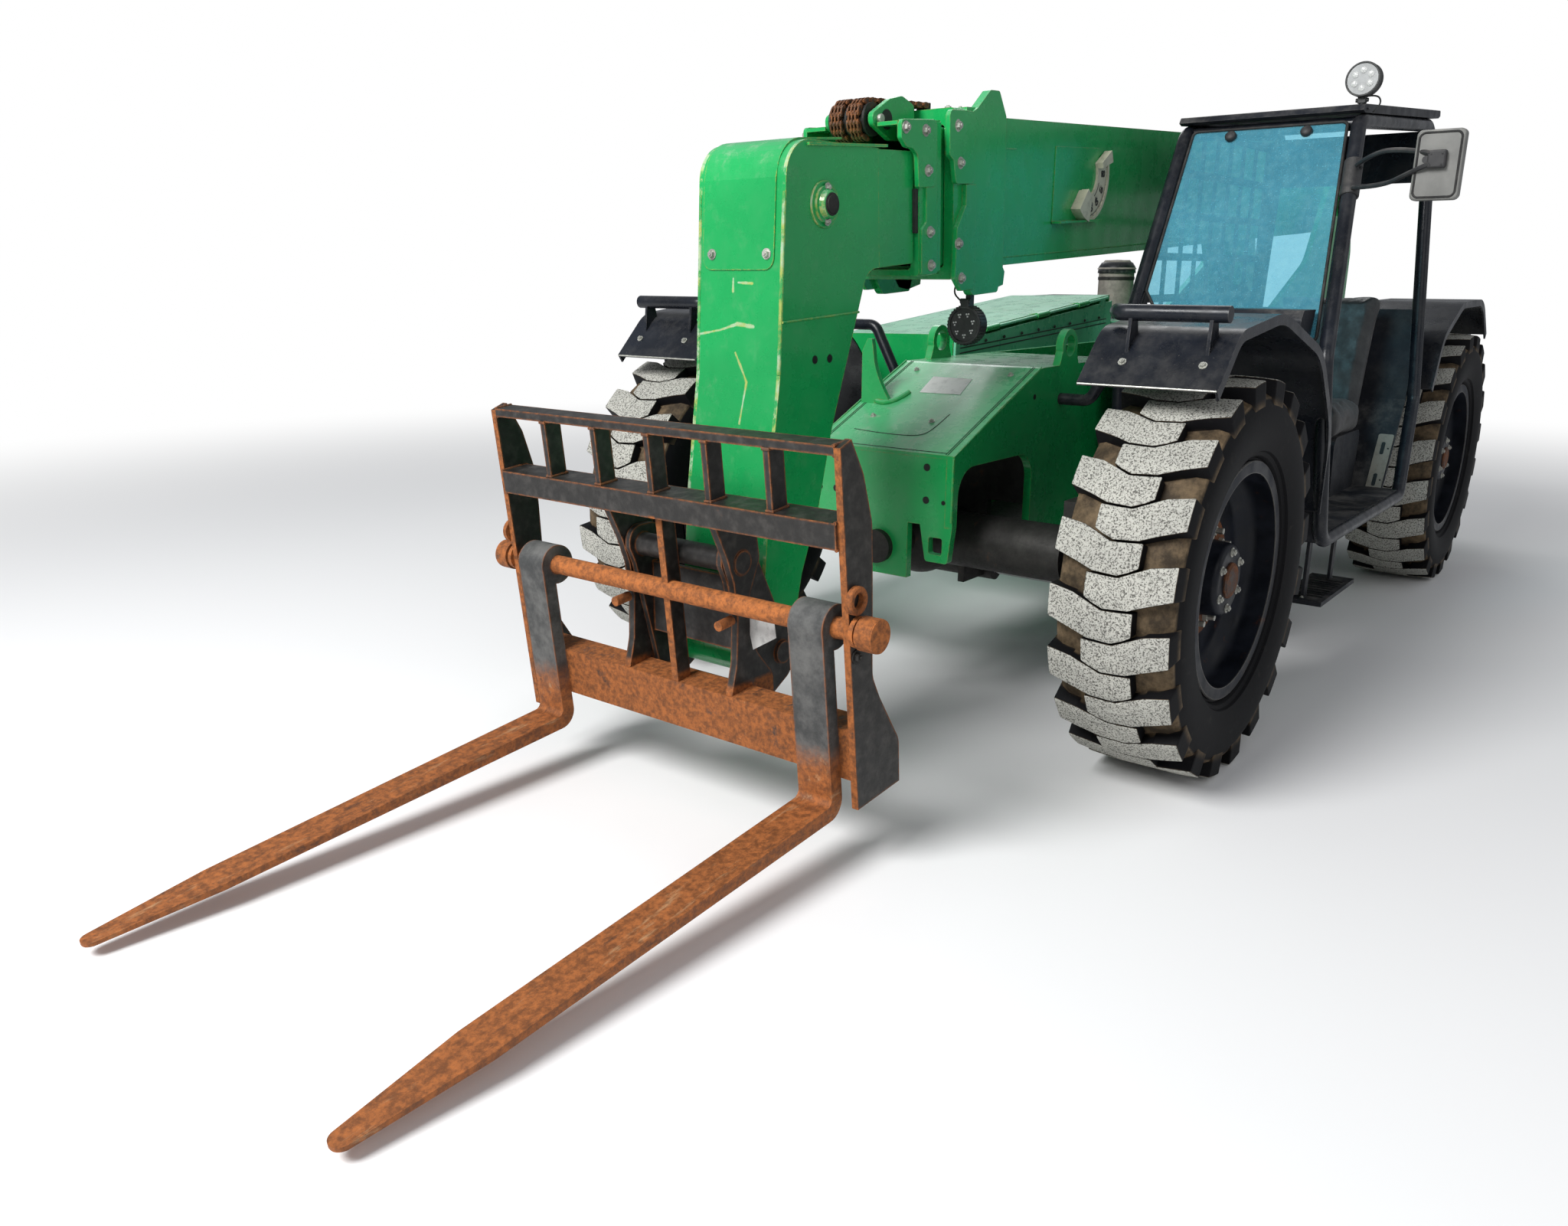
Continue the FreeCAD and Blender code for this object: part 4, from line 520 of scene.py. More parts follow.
def cab_glass(name):
    """Thin bluish glass under a blotchy part-opaque blue layer, a painted reflection of the sky, with fine
    specks.
    """
    n = new_nodes(name)
    # Painted reflection of the sky: a blotchy part-opaque blue layer over the clear glass.
    sky_reflection_film = n.step(n.noise(3.0, 7.0, 0.7), 0.30, 0.75, 0.30, 0.42)
    specks = n.times(n.step(n.noise(140.0, 3.0, 0.7), 0.62, 0.70), 0.35)
    share = n.math("ADD", sky_reflection_film, specks)
    glass = n.tree.nodes.new("ShaderNodeBsdfTransparent")
    glass.inputs["Color"].default_value = (0.62, 0.86, 0.92, 1.0)
    out = n.tree.nodes["Material Output"]
    blend = n.tree.nodes.new("ShaderNodeMixShader")
    n.tree.links.new(share, blend.inputs[0])
    n.tree.links.new(glass.outputs[0], blend.inputs[1])
    n.tree.links.new(n.shader.outputs[0], blend.inputs[2])
    n.tree.links.new(blend.outputs[0], out.inputs["Surface"])
    colour = n.mix(n.step(n.noise(40.0, 5.0, 0.7), 0.4, 0.7), (0.13, 0.46, 0.60), (0.20, 0.56, 0.68))
    return n.finish(colour, 0.10)


def lamp_face(name):
    """Lamp face: near-white and grey cells under a clear coat, a painted reflection of chrome reflectors.
    """
    n = new_nodes(name)
    rings = n.cells(260.0)
    # Painted reflection: the near-white cells stand in for the shine of the chrome reflectors.
    colour = n.mix(n.step(rings, 0.1, 0.5), (0.92, 0.92, 0.88), (0.55, 0.56, 0.55))
    n.shader.inputs["Coat Weight"].default_value = 0.8
    return n.finish(colour, 0.12, n.bump(rings, 0.3, 0.0008))


def mirror_glass(name):
    """Silvered glass with a little dust."""
    n = new_nodes(name)
    dust = n.step(n.noise(9.0, 7.0, 0.7), 0.45, 0.80)
    colour = n.mix(n.times(dust, 0.25), (0.80, 0.83, 0.85), finish().dust)
    return n.finish(colour, n.math("ADD", 0.03, n.times(dust, 0.2)), None, 1.0)


def bare_plate(name, colour=(0.72, 0.72, 0.70)):
    """Blank plate or sticker, scuffed and dusty."""
    n = new_nodes(name)
    tone = n.mix(n.step(n.noise(30.0, 6.0, 0.7), 0.45, 0.80), colour, shade(colour, 0.55))
    return n.finish(tone, 0.45, n.bump(n.noise(60.0, 4.0), 0.15, 0.001))


def studio_floor(name):
    """Pale floor, white to the camera."""
    n = new_nodes(name)
    n.shader.inputs["Roughness"].default_value = 0.9
    n.feed(n.shader.inputs["Base Color"], (0.86, 0.86, 0.86, 1.0))
    away = n.tree.nodes.new("ShaderNodeVectorMath")
    away.operation = "LENGTH"
    n.tree.links.new(n.position, away.inputs[0])
    far = n.step(away.outputs["Value"], 4.5, 11.0)
    seen = n.tree.nodes.new("ShaderNodeLightPath").outputs["Is Camera Ray"]
    white = n.tree.nodes.new("ShaderNodeEmission")
    white.inputs["Color"].default_value = (1.0, 1.0, 1.0, 1.0)
    blend = n.tree.nodes.new("ShaderNodeMixShader")
    n.tree.links.new(n.times(far, seen), blend.inputs[0])
    n.tree.links.new(n.shader.outputs[0], blend.inputs[1])
    n.tree.links.new(white.outputs[0], blend.inputs[2])
    n.tree.links.new(blend.outputs[0], n.tree.nodes["Material Output"].inputs["Surface"])
    return n.material


MATERIALS = {}


def material(name):
    """A finish by name, made once."""
    if name not in MATERIALS:
        MATERIALS[name] = MAKERS[name](name)
    return MATERIALS[name]


MAKERS = {
    "green_paint": lambda name: worn_paint(name, finish().paint),
    # Hood: the large top share and the pale mint are painted sunlight on the green paint.
    "hood_paint": lambda name: worn_paint(name, finish().paint, 0.75, (0.36, 0.86, 0.62)),
    # Tray wall: the pale mint base stands for the body green lit by the sun, as painted sunlight.
    "tray_paint": lambda name: worn_paint(name, (0.16, 0.62, 0.38), 0.75, (0.36, 0.86, 0.62)),
    "head_paint": lambda name: head_paint(name, finish().paint),
    "black_paint": black_paint,
    "dull_black": lambda name: black_paint(name, 0.45, 0.9),
    "roof_paint": lambda name: black_paint(name, 0.35, 0.7),
    "carriage_black": carriage_steel,
    "coupler_black": lambda name: rusty_steel(name, 0.22),
    "bar_rust": lambda name: rusty_steel(name, 0.95),
    "shaft_rust": lambda name: rusty_steel(name, 1.1, bright=1.25),
    "fork_steel": fork_shank,
    "tread_rubber": tread_rubber,
    "wheel_black": wheel_black,
    "hub_rust": lambda name: rusty_steel(name, 0.75, bright=0.5),
    "dark_steel": lambda name: plain_metal(name, (0.045, 0.043, 0.040), 0.45, 0.6),
    "bright_rod": lambda name: plain_metal(name, (0.75, 0.75, 0.76), 0.10, 1.0, 40.0),
    "bolt_zinc": lambda name: plain_metal(name, (0.62, 0.62, 0.56), 0.35, 0.7),
    "chain_steel": lambda name: rusty_steel(name, 0.45, (0.020, 0.016, 0.012)),
    "seat_vinyl": seat_vinyl,
    "cab_plastic": lambda name: moulded(name, (0.020, 0.020, 0.022)),
    "rubber_trim": lambda name: moulded(name, (0.010, 0.010, 0.010), 0.7, 300.0, 0.15),
    "cab_glass": cab_glass,
    "lamp_shell": lambda name: moulded(name, (0.016, 0.018, 0.018), 0.4, 380.0, 0.2),
    "lamp_bezel": lambda name: moulded(name, (0.36, 0.37, 0.37), 0.35, 300.0, 0.1),
    "lamp_face": lamp_face,
    "mirror_back": lambda name: moulded(name, (0.17, 0.17, 0.16), 0.5, 300.0, 0.5),
    "mirror_glass": mirror_glass,
    "dial_beige": lambda name: bare_plate(name, (0.52, 0.50, 0.38)),
    "dial_ink": lambda name: bare_plate(name, (0.010, 0.010, 0.010)),
    "white_plate": bare_plate,
    "worn_plate": lambda name: bare_plate(name, (0.30, 0.27, 0.22)),
    "silencer": lambda name: plain_metal(name, (0.34, 0.31, 0.27), 0.55, 0.2),
    "floor": studio_floor,
    # Near-black for dark seams, and painted shade for the insides of holes and slots.
    "void": lambda name: bare_plate(name, (0.002, 0.002, 0.002)),
}

NODE_FINISHES = {
    "green_paint": ("frame_nose", "left_frame_rail", "right_frame_rail", "boom_outer", "boom_mid",
                    "boom_inner"),
    "hood_paint": ("engine_hood",),
    "tray_paint": ("engine_tray",),
    "head_paint": ("boom_head",),
    "black_paint": ("front_left_fender", "front_right_fender", "rear_left_fender", "rear_right_fender",
                    "cab_frame", "counterweight"),
    "dull_black": ("cab_tub", "mesh_guard", "fuel_tank", "seat_base"),
    "dark_steel": ("frame_crossmembers", "engine_block", "front_axle", "rear_axle", "front_left_knuckle",
                   "front_right_knuckle", "rear_left_knuckle", "rear_right_knuckle", "lift_barrel"),
    "bright_rod": ("lift_rod", "front_tie_rod", "rear_tie_rod"),
    "wheel_black": ("front_left_rim", "front_right_rim", "rear_left_rim", "rear_right_rim"),
    "carriage_black": ("carriage",),
    "coupler_black": ("coupler",),
    "shaft_rust": ("fork_shaft",),
    "fork_steel": ("left_fork", "right_fork"),
    "cab_plastic": ("cab_controls",),
    "cab_glass": ("windscreen",),
    "lamp_shell": ("work_lamp", "hanging_lamp"),
    "mirror_back": ("left_mirror",),
    "dial_beige": ("angle_dial",),
    "silencer": ("exhaust",),
    "roof_paint": ("cab_roof",),
}


def paint_node(node, name):
    """Give every slot of a part of the frame one finish."""
    for holder in frame["nodes"][node].material_slots:
        holder.material = material(name)


# Mesh building


def piece(name, shape, body, finish_name, replaces=(), smooth=False):
    """Make an object of a bmesh, give it a finish and let it ride on a body."""
    mesh = bpy.data.meshes.new(name)
    shape.to_mesh(mesh)
    shape.free()
    mesh.shade_smooth() if smooth else mesh.shade_flat()
    mesh.materials.append(material(finish_name))
    made = bpy.data.objects.new(name, mesh)
    bpy.context.scene.collection.objects.link(made)
    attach(made, body)
    if replaces:
        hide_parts(*replaces)
    return made


def soften(shape, edges, offset, segments=2):
    """Bevel some edges of a shape."""
    bmesh.ops.bevel(shape, geom=list(edges), affect="EDGES", offset=offset, offset_type="OFFSET",
                    segments=segments, profile=0.5, material=-1, clamp_overlap=True)


def facing(direction):
    """Rotation that turns +Z to a direction."""
    return Vector(direction).to_track_quat("Z", "Y").to_matrix().to_4x4()


def add_block(shape, low, high, bevel=0.0, turn=None):
    """Block between two corners, turned by a matrix if one is given."""
    low, high = Vector(low), Vector(high)
    size = high - low
    matrix = Matrix.Translation((low + high) / 2) @ Matrix.Diagonal((*size, 1.0))
    made = bmesh.ops.create_cube(shape, size=1.0, matrix=matrix)
    if turn is not None:
        bmesh.ops.transform(shape, verts=made["verts"], matrix=turn)
    if bevel:
        edges = {e for v in made["verts"] for e in v.link_edges}
        soften(shape, edges, bevel)


def add_bar(shape, start, end, radius, end_radius=None, sides=20, bevel=0.0):
    """Round bar between two points, tapered if an end radius is given."""
    start, end = Vector(start), Vector(end)
    along = end - start
    matrix = Matrix.Translation((start + end) / 2) @ facing(along)
    made = bmesh.ops.create_cone(shape, cap_ends=True, segments=sides, radius1=radius,
                                 radius2=radius if end_radius is None else end_radius, depth=along.length,
                                 matrix=matrix)
    if bevel:
        faces = {f for v in made["verts"] for f in v.link_faces if len(f.verts) > 4}
        soften(shape, {e for f in faces for e in f.edges}, bevel)


def add_ring(shape, centre, axis, outer, inner, depth, sides=32, bevel=0.0015):
    """Flat ring whose back lies on centre and that stands up along axis."""
    section = [(inner, 0.0), (outer, 0.0), (outer, depth - bevel), (outer - bevel, depth),
               (inner + bevel, depth),
               (inner, depth - bevel)]
    add_turned(shape, centre, axis, section, sides)


def add_turned(shape, centre, axis, section, sides=32):
    """Closed turned solid from a section of (radius, height) about an axis."""
    matrix = Matrix.Translation(centre) @ facing(axis)
    verts = [shape.verts.new((r, 0, h)) for r, h in section]
    edges = [shape.edges.new((a, b)) for a, b in zip(verts, verts[1:] + verts[:1])]
    before = set(shape.verts) - set(verts)
    bmesh.ops.spin(shape, geom=verts + edges, cent=(0, 0, 0), axis=(0, 0, 1), dvec=(0, 0, 0),
                   angle=2 * math.pi, steps=sides, use_merge=True, use_normal_flip=False,
                   use_duplicate=False)
    new = [v for v in shape.verts if v not in before]
    bmesh.ops.remove_doubles(shape, verts=new, dist=1e-6)
    new = [v for v in shape.verts if v not in before]
    bmesh.ops.transform(shape, verts=new, matrix=matrix)


def add_bolt(shape, centre, axis, size=None):
    """Hexagon bolt head on its washer, standing on a surface."""
    size = size or finish().bolt_size
    axis = Vector(axis).normalized()
    centre = Vector(centre)
    add_bar(shape, centre - axis * 0.001, centre + axis * size * 0.12, size * 0.78, sides=16)
    add_bar(shape, centre + axis * size * 0.10, centre + axis * size * 0.55, size * 0.55, size * 0.50,
            sides=6)
    add_bar(shape, centre + axis * size * 0.50, centre + axis * size * 0.72, size * 0.24, sides=8)


def add_plate(shape, points, depth, bevel=0.0):
    """Plate from a loop of points, thickened by the vector depth."""
    verts = [shape.verts.new(p) for p in points]
    face = shape.faces.new(verts)
    grown = bmesh.ops.extrude_face_region(shape, geom=[face])
    top = [g for g in grown["geom"] if isinstance(g, bmesh.types.BMVert)]
    bmesh.ops.translate(shape, verts=top, vec=Vector(depth))
    faces = {f for v in verts + top for f in v.link_faces}
    bmesh.ops.recalc_face_normals(shape, faces=list(faces))
    if bevel:
        caps = [f for f in faces if set(f.verts) <= set(top)]
        soften(shape, {e for f in caps for e in f.edges}, bevel)


def rounded(corners, steps=5):
    """Loop of (a, b) points from corners of (a, b, radius)."""
    loop = []
    count = len(corners)
    for i, (a, b, radius) in enumerate(corners):
        corner = Vector((a, b))
        if radius <= 0:
            loop.append((a, b))
            continue
        before = (Vector(corners[i - 1][:2]) - corner).normalized()
        after = (Vector(corners[(i + 1) % count][:2]) - corner).normalized()
        half = before.angle(after) / 2
        centre = corner + (before + after).normalized() * (radius / math.sin(half))
        first = corner + before * (radius / math.tan(half)) - centre
        last = corner + after * (radius / math.tan(half)) - centre
        for k in range(steps + 1):
            spoke = first.lerp(last, k / steps).normalized() * radius
            loop.append(tuple(centre + spoke))
    return loop


def add_wire(shape, points, radius, sides=8, bend=0.0):
    """Round wire along points, its corners rounded by a smooth spline if bend is given."""
    curve = bpy.data.curves.new("wire", "CURVE")
    curve.dimensions = "3D"
    curve.bevel_depth = radius
    curve.bevel_resolution = max(1, sides // 4)
    curve.use_fill_caps = True
    spline = curve.splines.new("NURBS" if bend else "POLY")
    spline.points.add(len(points) - 1)
    for target, point in zip(spline.points, points):
        target.co = (*point, 1.0)
    if bend:
        spline.order_u = 3
        spline.use_endpoint_u = True
        spline.resolution_u = 6
    holder = bpy.data.objects.new("wire", curve)
    mesh = bpy.data.meshes.new_from_object(holder)
    shape.from_mesh(mesh)
    bpy.data.meshes.remove(mesh)
    bpy.data.objects.remove(holder)
    bpy.data.curves.remove(curve)


# Wheels


CARCASS = ((0.1495, 0.3610), (0.1500, 0.3920), (0.1640, 0.4000), (0.1700, 0.4120), (0.1790, 0.4160),
           (0.1860, 0.4400), (0.1925, 0.4700), (0.1950, 0.5000), (0.1945, 0.5300), (0.1900, 0.5550),
           (0.1780, 0.5800), (0.1520, 0.5950), (0.0800, 0.6000), (0.0, 0.6015))
LUG_OUTLINE = ((-0.058, -0.076), (-0.073, -0.050), (-0.087, -0.015), (-0.082, 0.060), (-0.062, 0.110),
               (-0.036, 0.186), (0.064, 0.186), (0.050, 0.110), (0.032, 0.070), (0.009, 0.020),
               (0.010, -0.020), (0.014, -0.076))
LUG_TIP = 0.058


def add_lug(shape, side):
    """One tread lug at the foot of the wheel, its outer end towards side."""
    top = TYRE_RADIUS
    low = top - finish().lug_height - 0.012
    verts = [shape.verts.new((s, y, 0.0)) for s, y in LUG_OUTLINE]
    face = shape.faces.new(verts)
    grown = bmesh.ops.extrude_face_region(shape, geom=[face])
    base = [g for g in grown["geom"] if isinstance(g, bmesh.types.BMVert)]
    bmesh.ops.translate(shape, verts=base, vec=(0, 0, top - low))
    for v in base:
        v.co.x *= 1.0 + 0.10 * max(0.0, v.co.y) / 0.186
        v.co.y += 0.004 if v.co.y > 0 else 0.0
    faces = {f for v in verts + base for f in v.link_faces}
    bmesh.ops.recalc_face_normals(shape, faces=list(faces))
    rim = {e for v in verts for e in v.link_edges}
    soften(shape, rim, 0.0045)
    for cut in (-0.07, -0.05, -0.03, -0.01, 0.01, 0.03, 0.05):
        bmesh.ops.bisect_plane(shape, geom=shape.verts[:] + shape.edges[:] + shape.faces[:], dist=1e-5,
                               plane_co=(cut, 0, 0), plane_no=(1, 0, 0))
    for v in shape.verts:
        s, y, depth = v.co
        fall = 0.007 * (max(0.0, y) / 0.186) ** 3
        radius = top - depth - fall
        if y > 0.15 and depth > 0.03:
            radius -= 0.030
        angle = s / top
        v.co = (radius * math.sin(angle), side * y, -radius * math.cos(angle))


def tyre_shape(side):
    """Tyre about the origin with its outer side towards side: carcass and two rows of lugs."""
    tread = bmesh.new()
    mark = tread.verts.layers.float.new("tread")
    loop = [(y, r) for y, r in CARCASS] + [(-y, r) for y, r in reversed(CARCASS[:-1])]
    verts = [tread.verts.new((0, y, r)) for y, r in loop]
    edges = [tread.edges.new((a, b)) for a, b in zip(verts, verts[1:] + verts[:1])]
    bmesh.ops.spin(tread, geom=verts + edges, cent=(0, 0, 0), axis=(0, 1, 0), dvec=(0, 0, 0),
                   angle=2 * math.pi,
                   steps=96, use_merge=True, use_normal_flip=False, use_duplicate=False)
    bmesh.ops.remove_doubles(tread, verts=tread.verts, dist=1e-6)
    for v in tread.verts:
        radius = math.hypot(v.co.x, v.co.z)
        v[mark] = 0.5 if radius > 0.575 else 0.0
    pitch = 2 * math.pi / finish().lug_count
    first = -pitch / 4 - math.asin(LUG_TIP / (TYRE_RADIUS / math.cos(pitch / 4)))
    for row, start in ((side, first), (-side, first + pitch / 2)):
        lug = bmesh.new()
        layer = lug.verts.layers.float.new("tread")
        add_lug(lug, row)
        for v in lug.verts:
            radius = math.hypot(v.co.x, v.co.z)
            crown = TYRE_RADIUS - 0.0065 * (max(0.0, row * v.co.y) / 0.186) ** 3
            v[layer] = 1.0 if radius > crown - 0.0025 else (0.12 if radius > 0.615 else 0.45)
        bmesh.ops.recalc_face_normals(lug, faces=lug.faces)
        holder = bpy.data.meshes.new("lug")
        lug.to_mesh(holder)
        lug.free()
        for i in range(finish().lug_count):
            before = len(tread.verts)
            tread.from_mesh(holder)
            tread.verts.ensure_lookup_table()
            bmesh.ops.rotate(tread, verts=tread.verts[before:], cent=(0, 0, 0),
                             matrix=Matrix.Rotation(start + i * pitch, 3, "Y"))
        bpy.data.meshes.remove(holder)
    return tread


class TELEHANDLER_OT_tyres(bpy.types.Operator):
    """Make the four lugged tyres around their rims"""

    bl_idname = "telehandler.tyres"
    bl_label = "Tyres"

    def execute(self, context):
        for name, x, side in WHEELS:
            shape = tyre_shape(side)
            bmesh.ops.translate(shape, verts=shape.verts, vec=(x, side * TRACK_HALF, TYRE_RADIUS))
            made = piece(name + "_lugged_tyre", shape, name + "_wheel", "tread_rubber",
                         (name + "_tyre",))
            made.data.shade_smooth()
            made.data.set_sharp_from_angle(angle=math.radians(30))
        return {"FINISHED"}


class TELEHANDLER_OT_wheel_details(bpy.types.Operator):
    """Make the nuts, hub caps and valves of the four wheels"""

    bl_idname = "telehandler.wheel_details"
    bl_label = "Wheel details"

    disc_face = 0.040
    nut_circle = 0.152
    cap_face = 0.130
    cap_circle = 0.092

    def execute(self, context):
        for name, x, side in WHEELS:
            out = Vector((0, side, 0))
            hub = Vector((x, side * TRACK_HALF, TYRE_RADIUS))
            nuts = bmesh.new()
            for i in range(finish().stud_count):
                angle = 2 * math.pi * i / finish().stud_count
                spoke = Vector((math.cos(angle), 0, math.sin(angle)))
                foot = hub + spoke * self.nut_circle + out * self.disc_face
                add_bolt(nuts, foot, out, 0.034)
                add_bar(nuts, foot, foot + out * 0.042, 0.010, sides=10)
            for i in range(6):
                angle = 2 * math.pi * (i + 0.5) / 6
                spoke = Vector((math.cos(angle), 0, math.sin(angle)))
                add_bolt(nuts, hub + spoke * self.cap_circle + out * self.cap_face, out, 0.020)
            piece(name + "_nuts", nuts, name + "_wheel", "bolt_zinc")
            cap = bmesh.new()
            add_turned(cap, hub + out * self.cap_face, out, [(0.0, 0.012), (0.0, -0.004), (0.058, -0.004),
                                                             (0.058, 0.006), (0.050, 0.012)], 28)
            add_ring(cap, hub + out * self.disc_face, out, 0.198, 0.130, 0.006, 40)
            piece(name + "_hub_rings", cap, name + "_wheel", "hub_rust", smooth=False)
            valve = bmesh.new()
            foot = hub + Vector((0.28, 0, 0.06)) + out * self.disc_face
            add_bar(valve, foot - out * 0.01, foot + out * 0.035, 0.006, sides=10)
            add_bar(valve, foot + out * 0.030, foot + out * 0.048, 0.008, sides=10)
            piece(name + "_valve", valve, name + "_wheel", "rubber_trim")
        return {"FINISHED"}


class TELEHANDLER_OT_paint(bpy.types.Operator):
    """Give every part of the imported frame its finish"""

    bl_idname = "telehandler.paint"
    bl_label = "Paint"

    def execute(self, context):
        for name, nodes in NODE_FINISHES.items():
            for node in nodes:
                paint_node(node, name)
        return {"FINISHED"}


# Boom head


HEAD_SIDE = 0.163
HEAD_NECK_SIDE = 0.151


def boom_plate(shape, corners, side, out, thick, bevel=0.0):
    """Plate on one side of the boom, from corners along it and across it."""
    add_plate(shape, [on_boom(u, side * out, v) for u, v in corners], (0, side * thick, 0), bevel)


def head_front(z):
    """How far forward the head's front stands at a height."""
    return 1.016 + (1.943 - z) * 0.052


def add_square_tube(shape, u0, u1, outside, inside):
    """Straight run of the boom from u0 to u1 between two outlines of (half width, low, high)."""
    before = set(shape.verts)
    loops = []
    for half, low, high in (outside, inside):
        corners = [(half, low, 0.012), (half, high, 0.012), (-half, high, 0.012), (-half, low, 0.012)]
        loops.append([shape.verts.new((u0, y, v)) for y, v in rounded(corners, 3)])
    edges = [shape.edges.new((a, b)) for loop in loops for a, b in zip(loop, loop[1:] + loop[:1])]
    made = bmesh.ops.bridge_loops(shape, edges=edges)
    grown = bmesh.ops.extrude_face_region(shape, geom=made["faces"])
    moved = [g for g in grown["geom"] if isinstance(g, bmesh.types.BMVert)]
    bmesh.ops.translate(shape, verts=moved, vec=(u1 - u0, 0, 0))
    new = [v for v in shape.verts if v not in before]
    faces = {f for v in new for f in v.link_faces}
    bmesh.ops.recalc_face_normals(shape, faces=list(faces))
    for v in new:
        v.co = on_boom(*v.co)


class TELEHANDLER_OT_head_details(bpy.types.Operator):
    """Make the head's cover plate, its flanges, pin bosses, bolts, and dark discs painted as the shade in
    its holes
    """

    bl_idname = "telehandler.head_details"
    bl_label = "Boom head details"

    cover_right = -0.141
    cover_left = 0.130
    cover_low = 1.590
    crown = (0.9103, 1.8381, 0.108)
    pin = (0.847, 1.772)

    def cover_path(self):
        """Points of (x, z) up the head's front and over its crown."""
        x, z, radius = self.crown
        path = [(head_front(self.cover_low), self.cover_low), (head_front(z), z)]
        for i in range(1, 9):
            angle = math.radians(10.4 * i)
            path.append((x + radius * math.cos(angle), z + radius * math.sin(angle)))
        path.append((0.72, 1.9620))
        return path

    def execute(self, context):
        cover = bmesh.new()
        path = self.cover_path()
        outer = [(x + 0.004 * math.cos(a), z + 0.004 * math.sin(a)) for (x, z), a in zip(
            path, [0.05, 0.05] + [math.radians(10.4 * i) for i in range(1, 9)] + [1.5])]
        inner = [(x - 0.002, z - 0.002) for x, z in path]
        loop = [at(x, self.cover_right, z) for x, z in outer + inner[::-1]]
        add_plate(cover, loop, (0, self.cover_left - self.cover_right, 0))
        foot = [e for e in cover.edges if abs(e.verts[0].co.z - e.verts[1].co.z) < 0.003
                and max(v.co.z for v in e.verts) < self.cover_low + 0.004
                and abs(e.verts[0].co.y - e.verts[1].co.y) < 0.001]
        soften(cover, foot, 0.034, 6)
        piece("head_cover", cover, "boom_inner", "head_paint")

        bolts = bmesh.new()
        for y in (-0.104, 0.104):
            add_bolt(bolts, at(head_front(1.634) + 0.004, y, 1.634), (1, 0, 0.05), 0.020)
        piece("head_cover_bolts", bolts, "boom_inner", "bolt_zinc")

        green = bmesh.new()
        dark = bmesh.new()
        nuts = bmesh.new()
        holes = bmesh.new()
        x, z = self.pin
        for side in (1, -1):
            out = Vector((0, side, 0))
            face = at(x, side * (HEAD_SIDE + 0.014), z)
            add_ring(green, at(x, side * HEAD_SIDE, z), out, 0.066, 0.050, 0.006, 36)
            add_bar(green, face - out * 0.004, face + out * 0.016, 0.044, 0.036, 28, 0.003)
            add_bar(dark, face + out * 0.012, face + out * 0.022, 0.027, sides=24, bevel=0.003)
            add_ring(dark, face + out * 0.014, out, 0.032, 0.025, 0.005, 24)
            for dz in (-0.047, 0.047):
                add_bolt(nuts, at(x, side * (HEAD_SIDE + 0.013), z + dz), out, 0.016)
            # Dark discs over the holes: painted shade inside them.
            for hx in (0.885, 0.812):
                add_bar(holes, at(hx, side * (HEAD_SIDE - 0.002), 1.334),
                        at(hx, side * (HEAD_SIDE + 0.0012), 1.334),
                        0.0125, sides=20)
            for hx, hz in ((0.945, 1.088), (0.905, 1.094)):
                add_bar(holes, at(hx, side * (HEAD_SIDE - 0.002), hz),
                        at(hx, side * (HEAD_SIDE + 0.001), hz), 0.011,
                        sides=16)
            seam = [at(1.040, side * (HEAD_SIDE + 0.001), 1.446),
                    at(0.665, side * (HEAD_SIDE + 0.001), 1.466)]
            add_wire(green, seam, 0.0035)
            strip = [at(0.930, side * (HEAD_SIDE - 0.004), 1.926),
                     at(0.540, side * (HEAD_SIDE - 0.004), 1.949),
                     at(0.540, side * (HEAD_SIDE - 0.004), 1.957),
                     at(0.930, side * (HEAD_SIDE - 0.004), 1.934)]
            add_plate(green, strip, (0, side * 0.014, 0))
            edge = [at(head_front(h) - 0.003, side * (HEAD_SIDE - 0.006), h)
                    for h in (1.80, 1.60, 1.40, 1.30)]
            add_wire(green, edge, 0.0065)
        piece("head_pin_bosses", green, "boom_inner", "head_paint")
        piece("head_pins", dark, "boom_inner", "dark_steel")
        piece("head_nuts", nuts, "boom_inner", "bolt_zinc")
        piece("head_hole_shade", holes, "boom_inner", "void")

        neck = bmesh.new()
        for side in (1, -1):
            corners = rounded([(4.600, -0.116, 0), (4.600, 0.230, 0), (4.378, 0.226, 0.012),
                               (4.378, -0.112, 0.012)])
            boom_plate(neck, corners, side, HEAD_NECK_SIDE, 0.0118, 0.001)
        piece("neck_plates", neck, "boom_inner", "green_paint")
        return {"FINISHED"}


# Boom sections


MID_BODY = (0.145, -0.131, 0.305)
MID_BORE = (0.137, -0.123, 0.297)
COLLAR_SIDE = 0.174
SHEAVE_ARM_SIDE = 0.074
GAP_SHADE_SIDE = 0.164
# Side of the dark band that is painted as the shade in the gap in front of the collar.
OUTER_PLATE_SIDE = 0.186
OUTER_PLATE_THICK = 0.0165
OUTER_BOLT_SIDE = 0.200
OUTER_SEAM_SIDE = 0.1705
COLLAR_BACK = 4.236
COLLAR_FRONT = 4.366
SHEAVE = (4.461, 0.323)


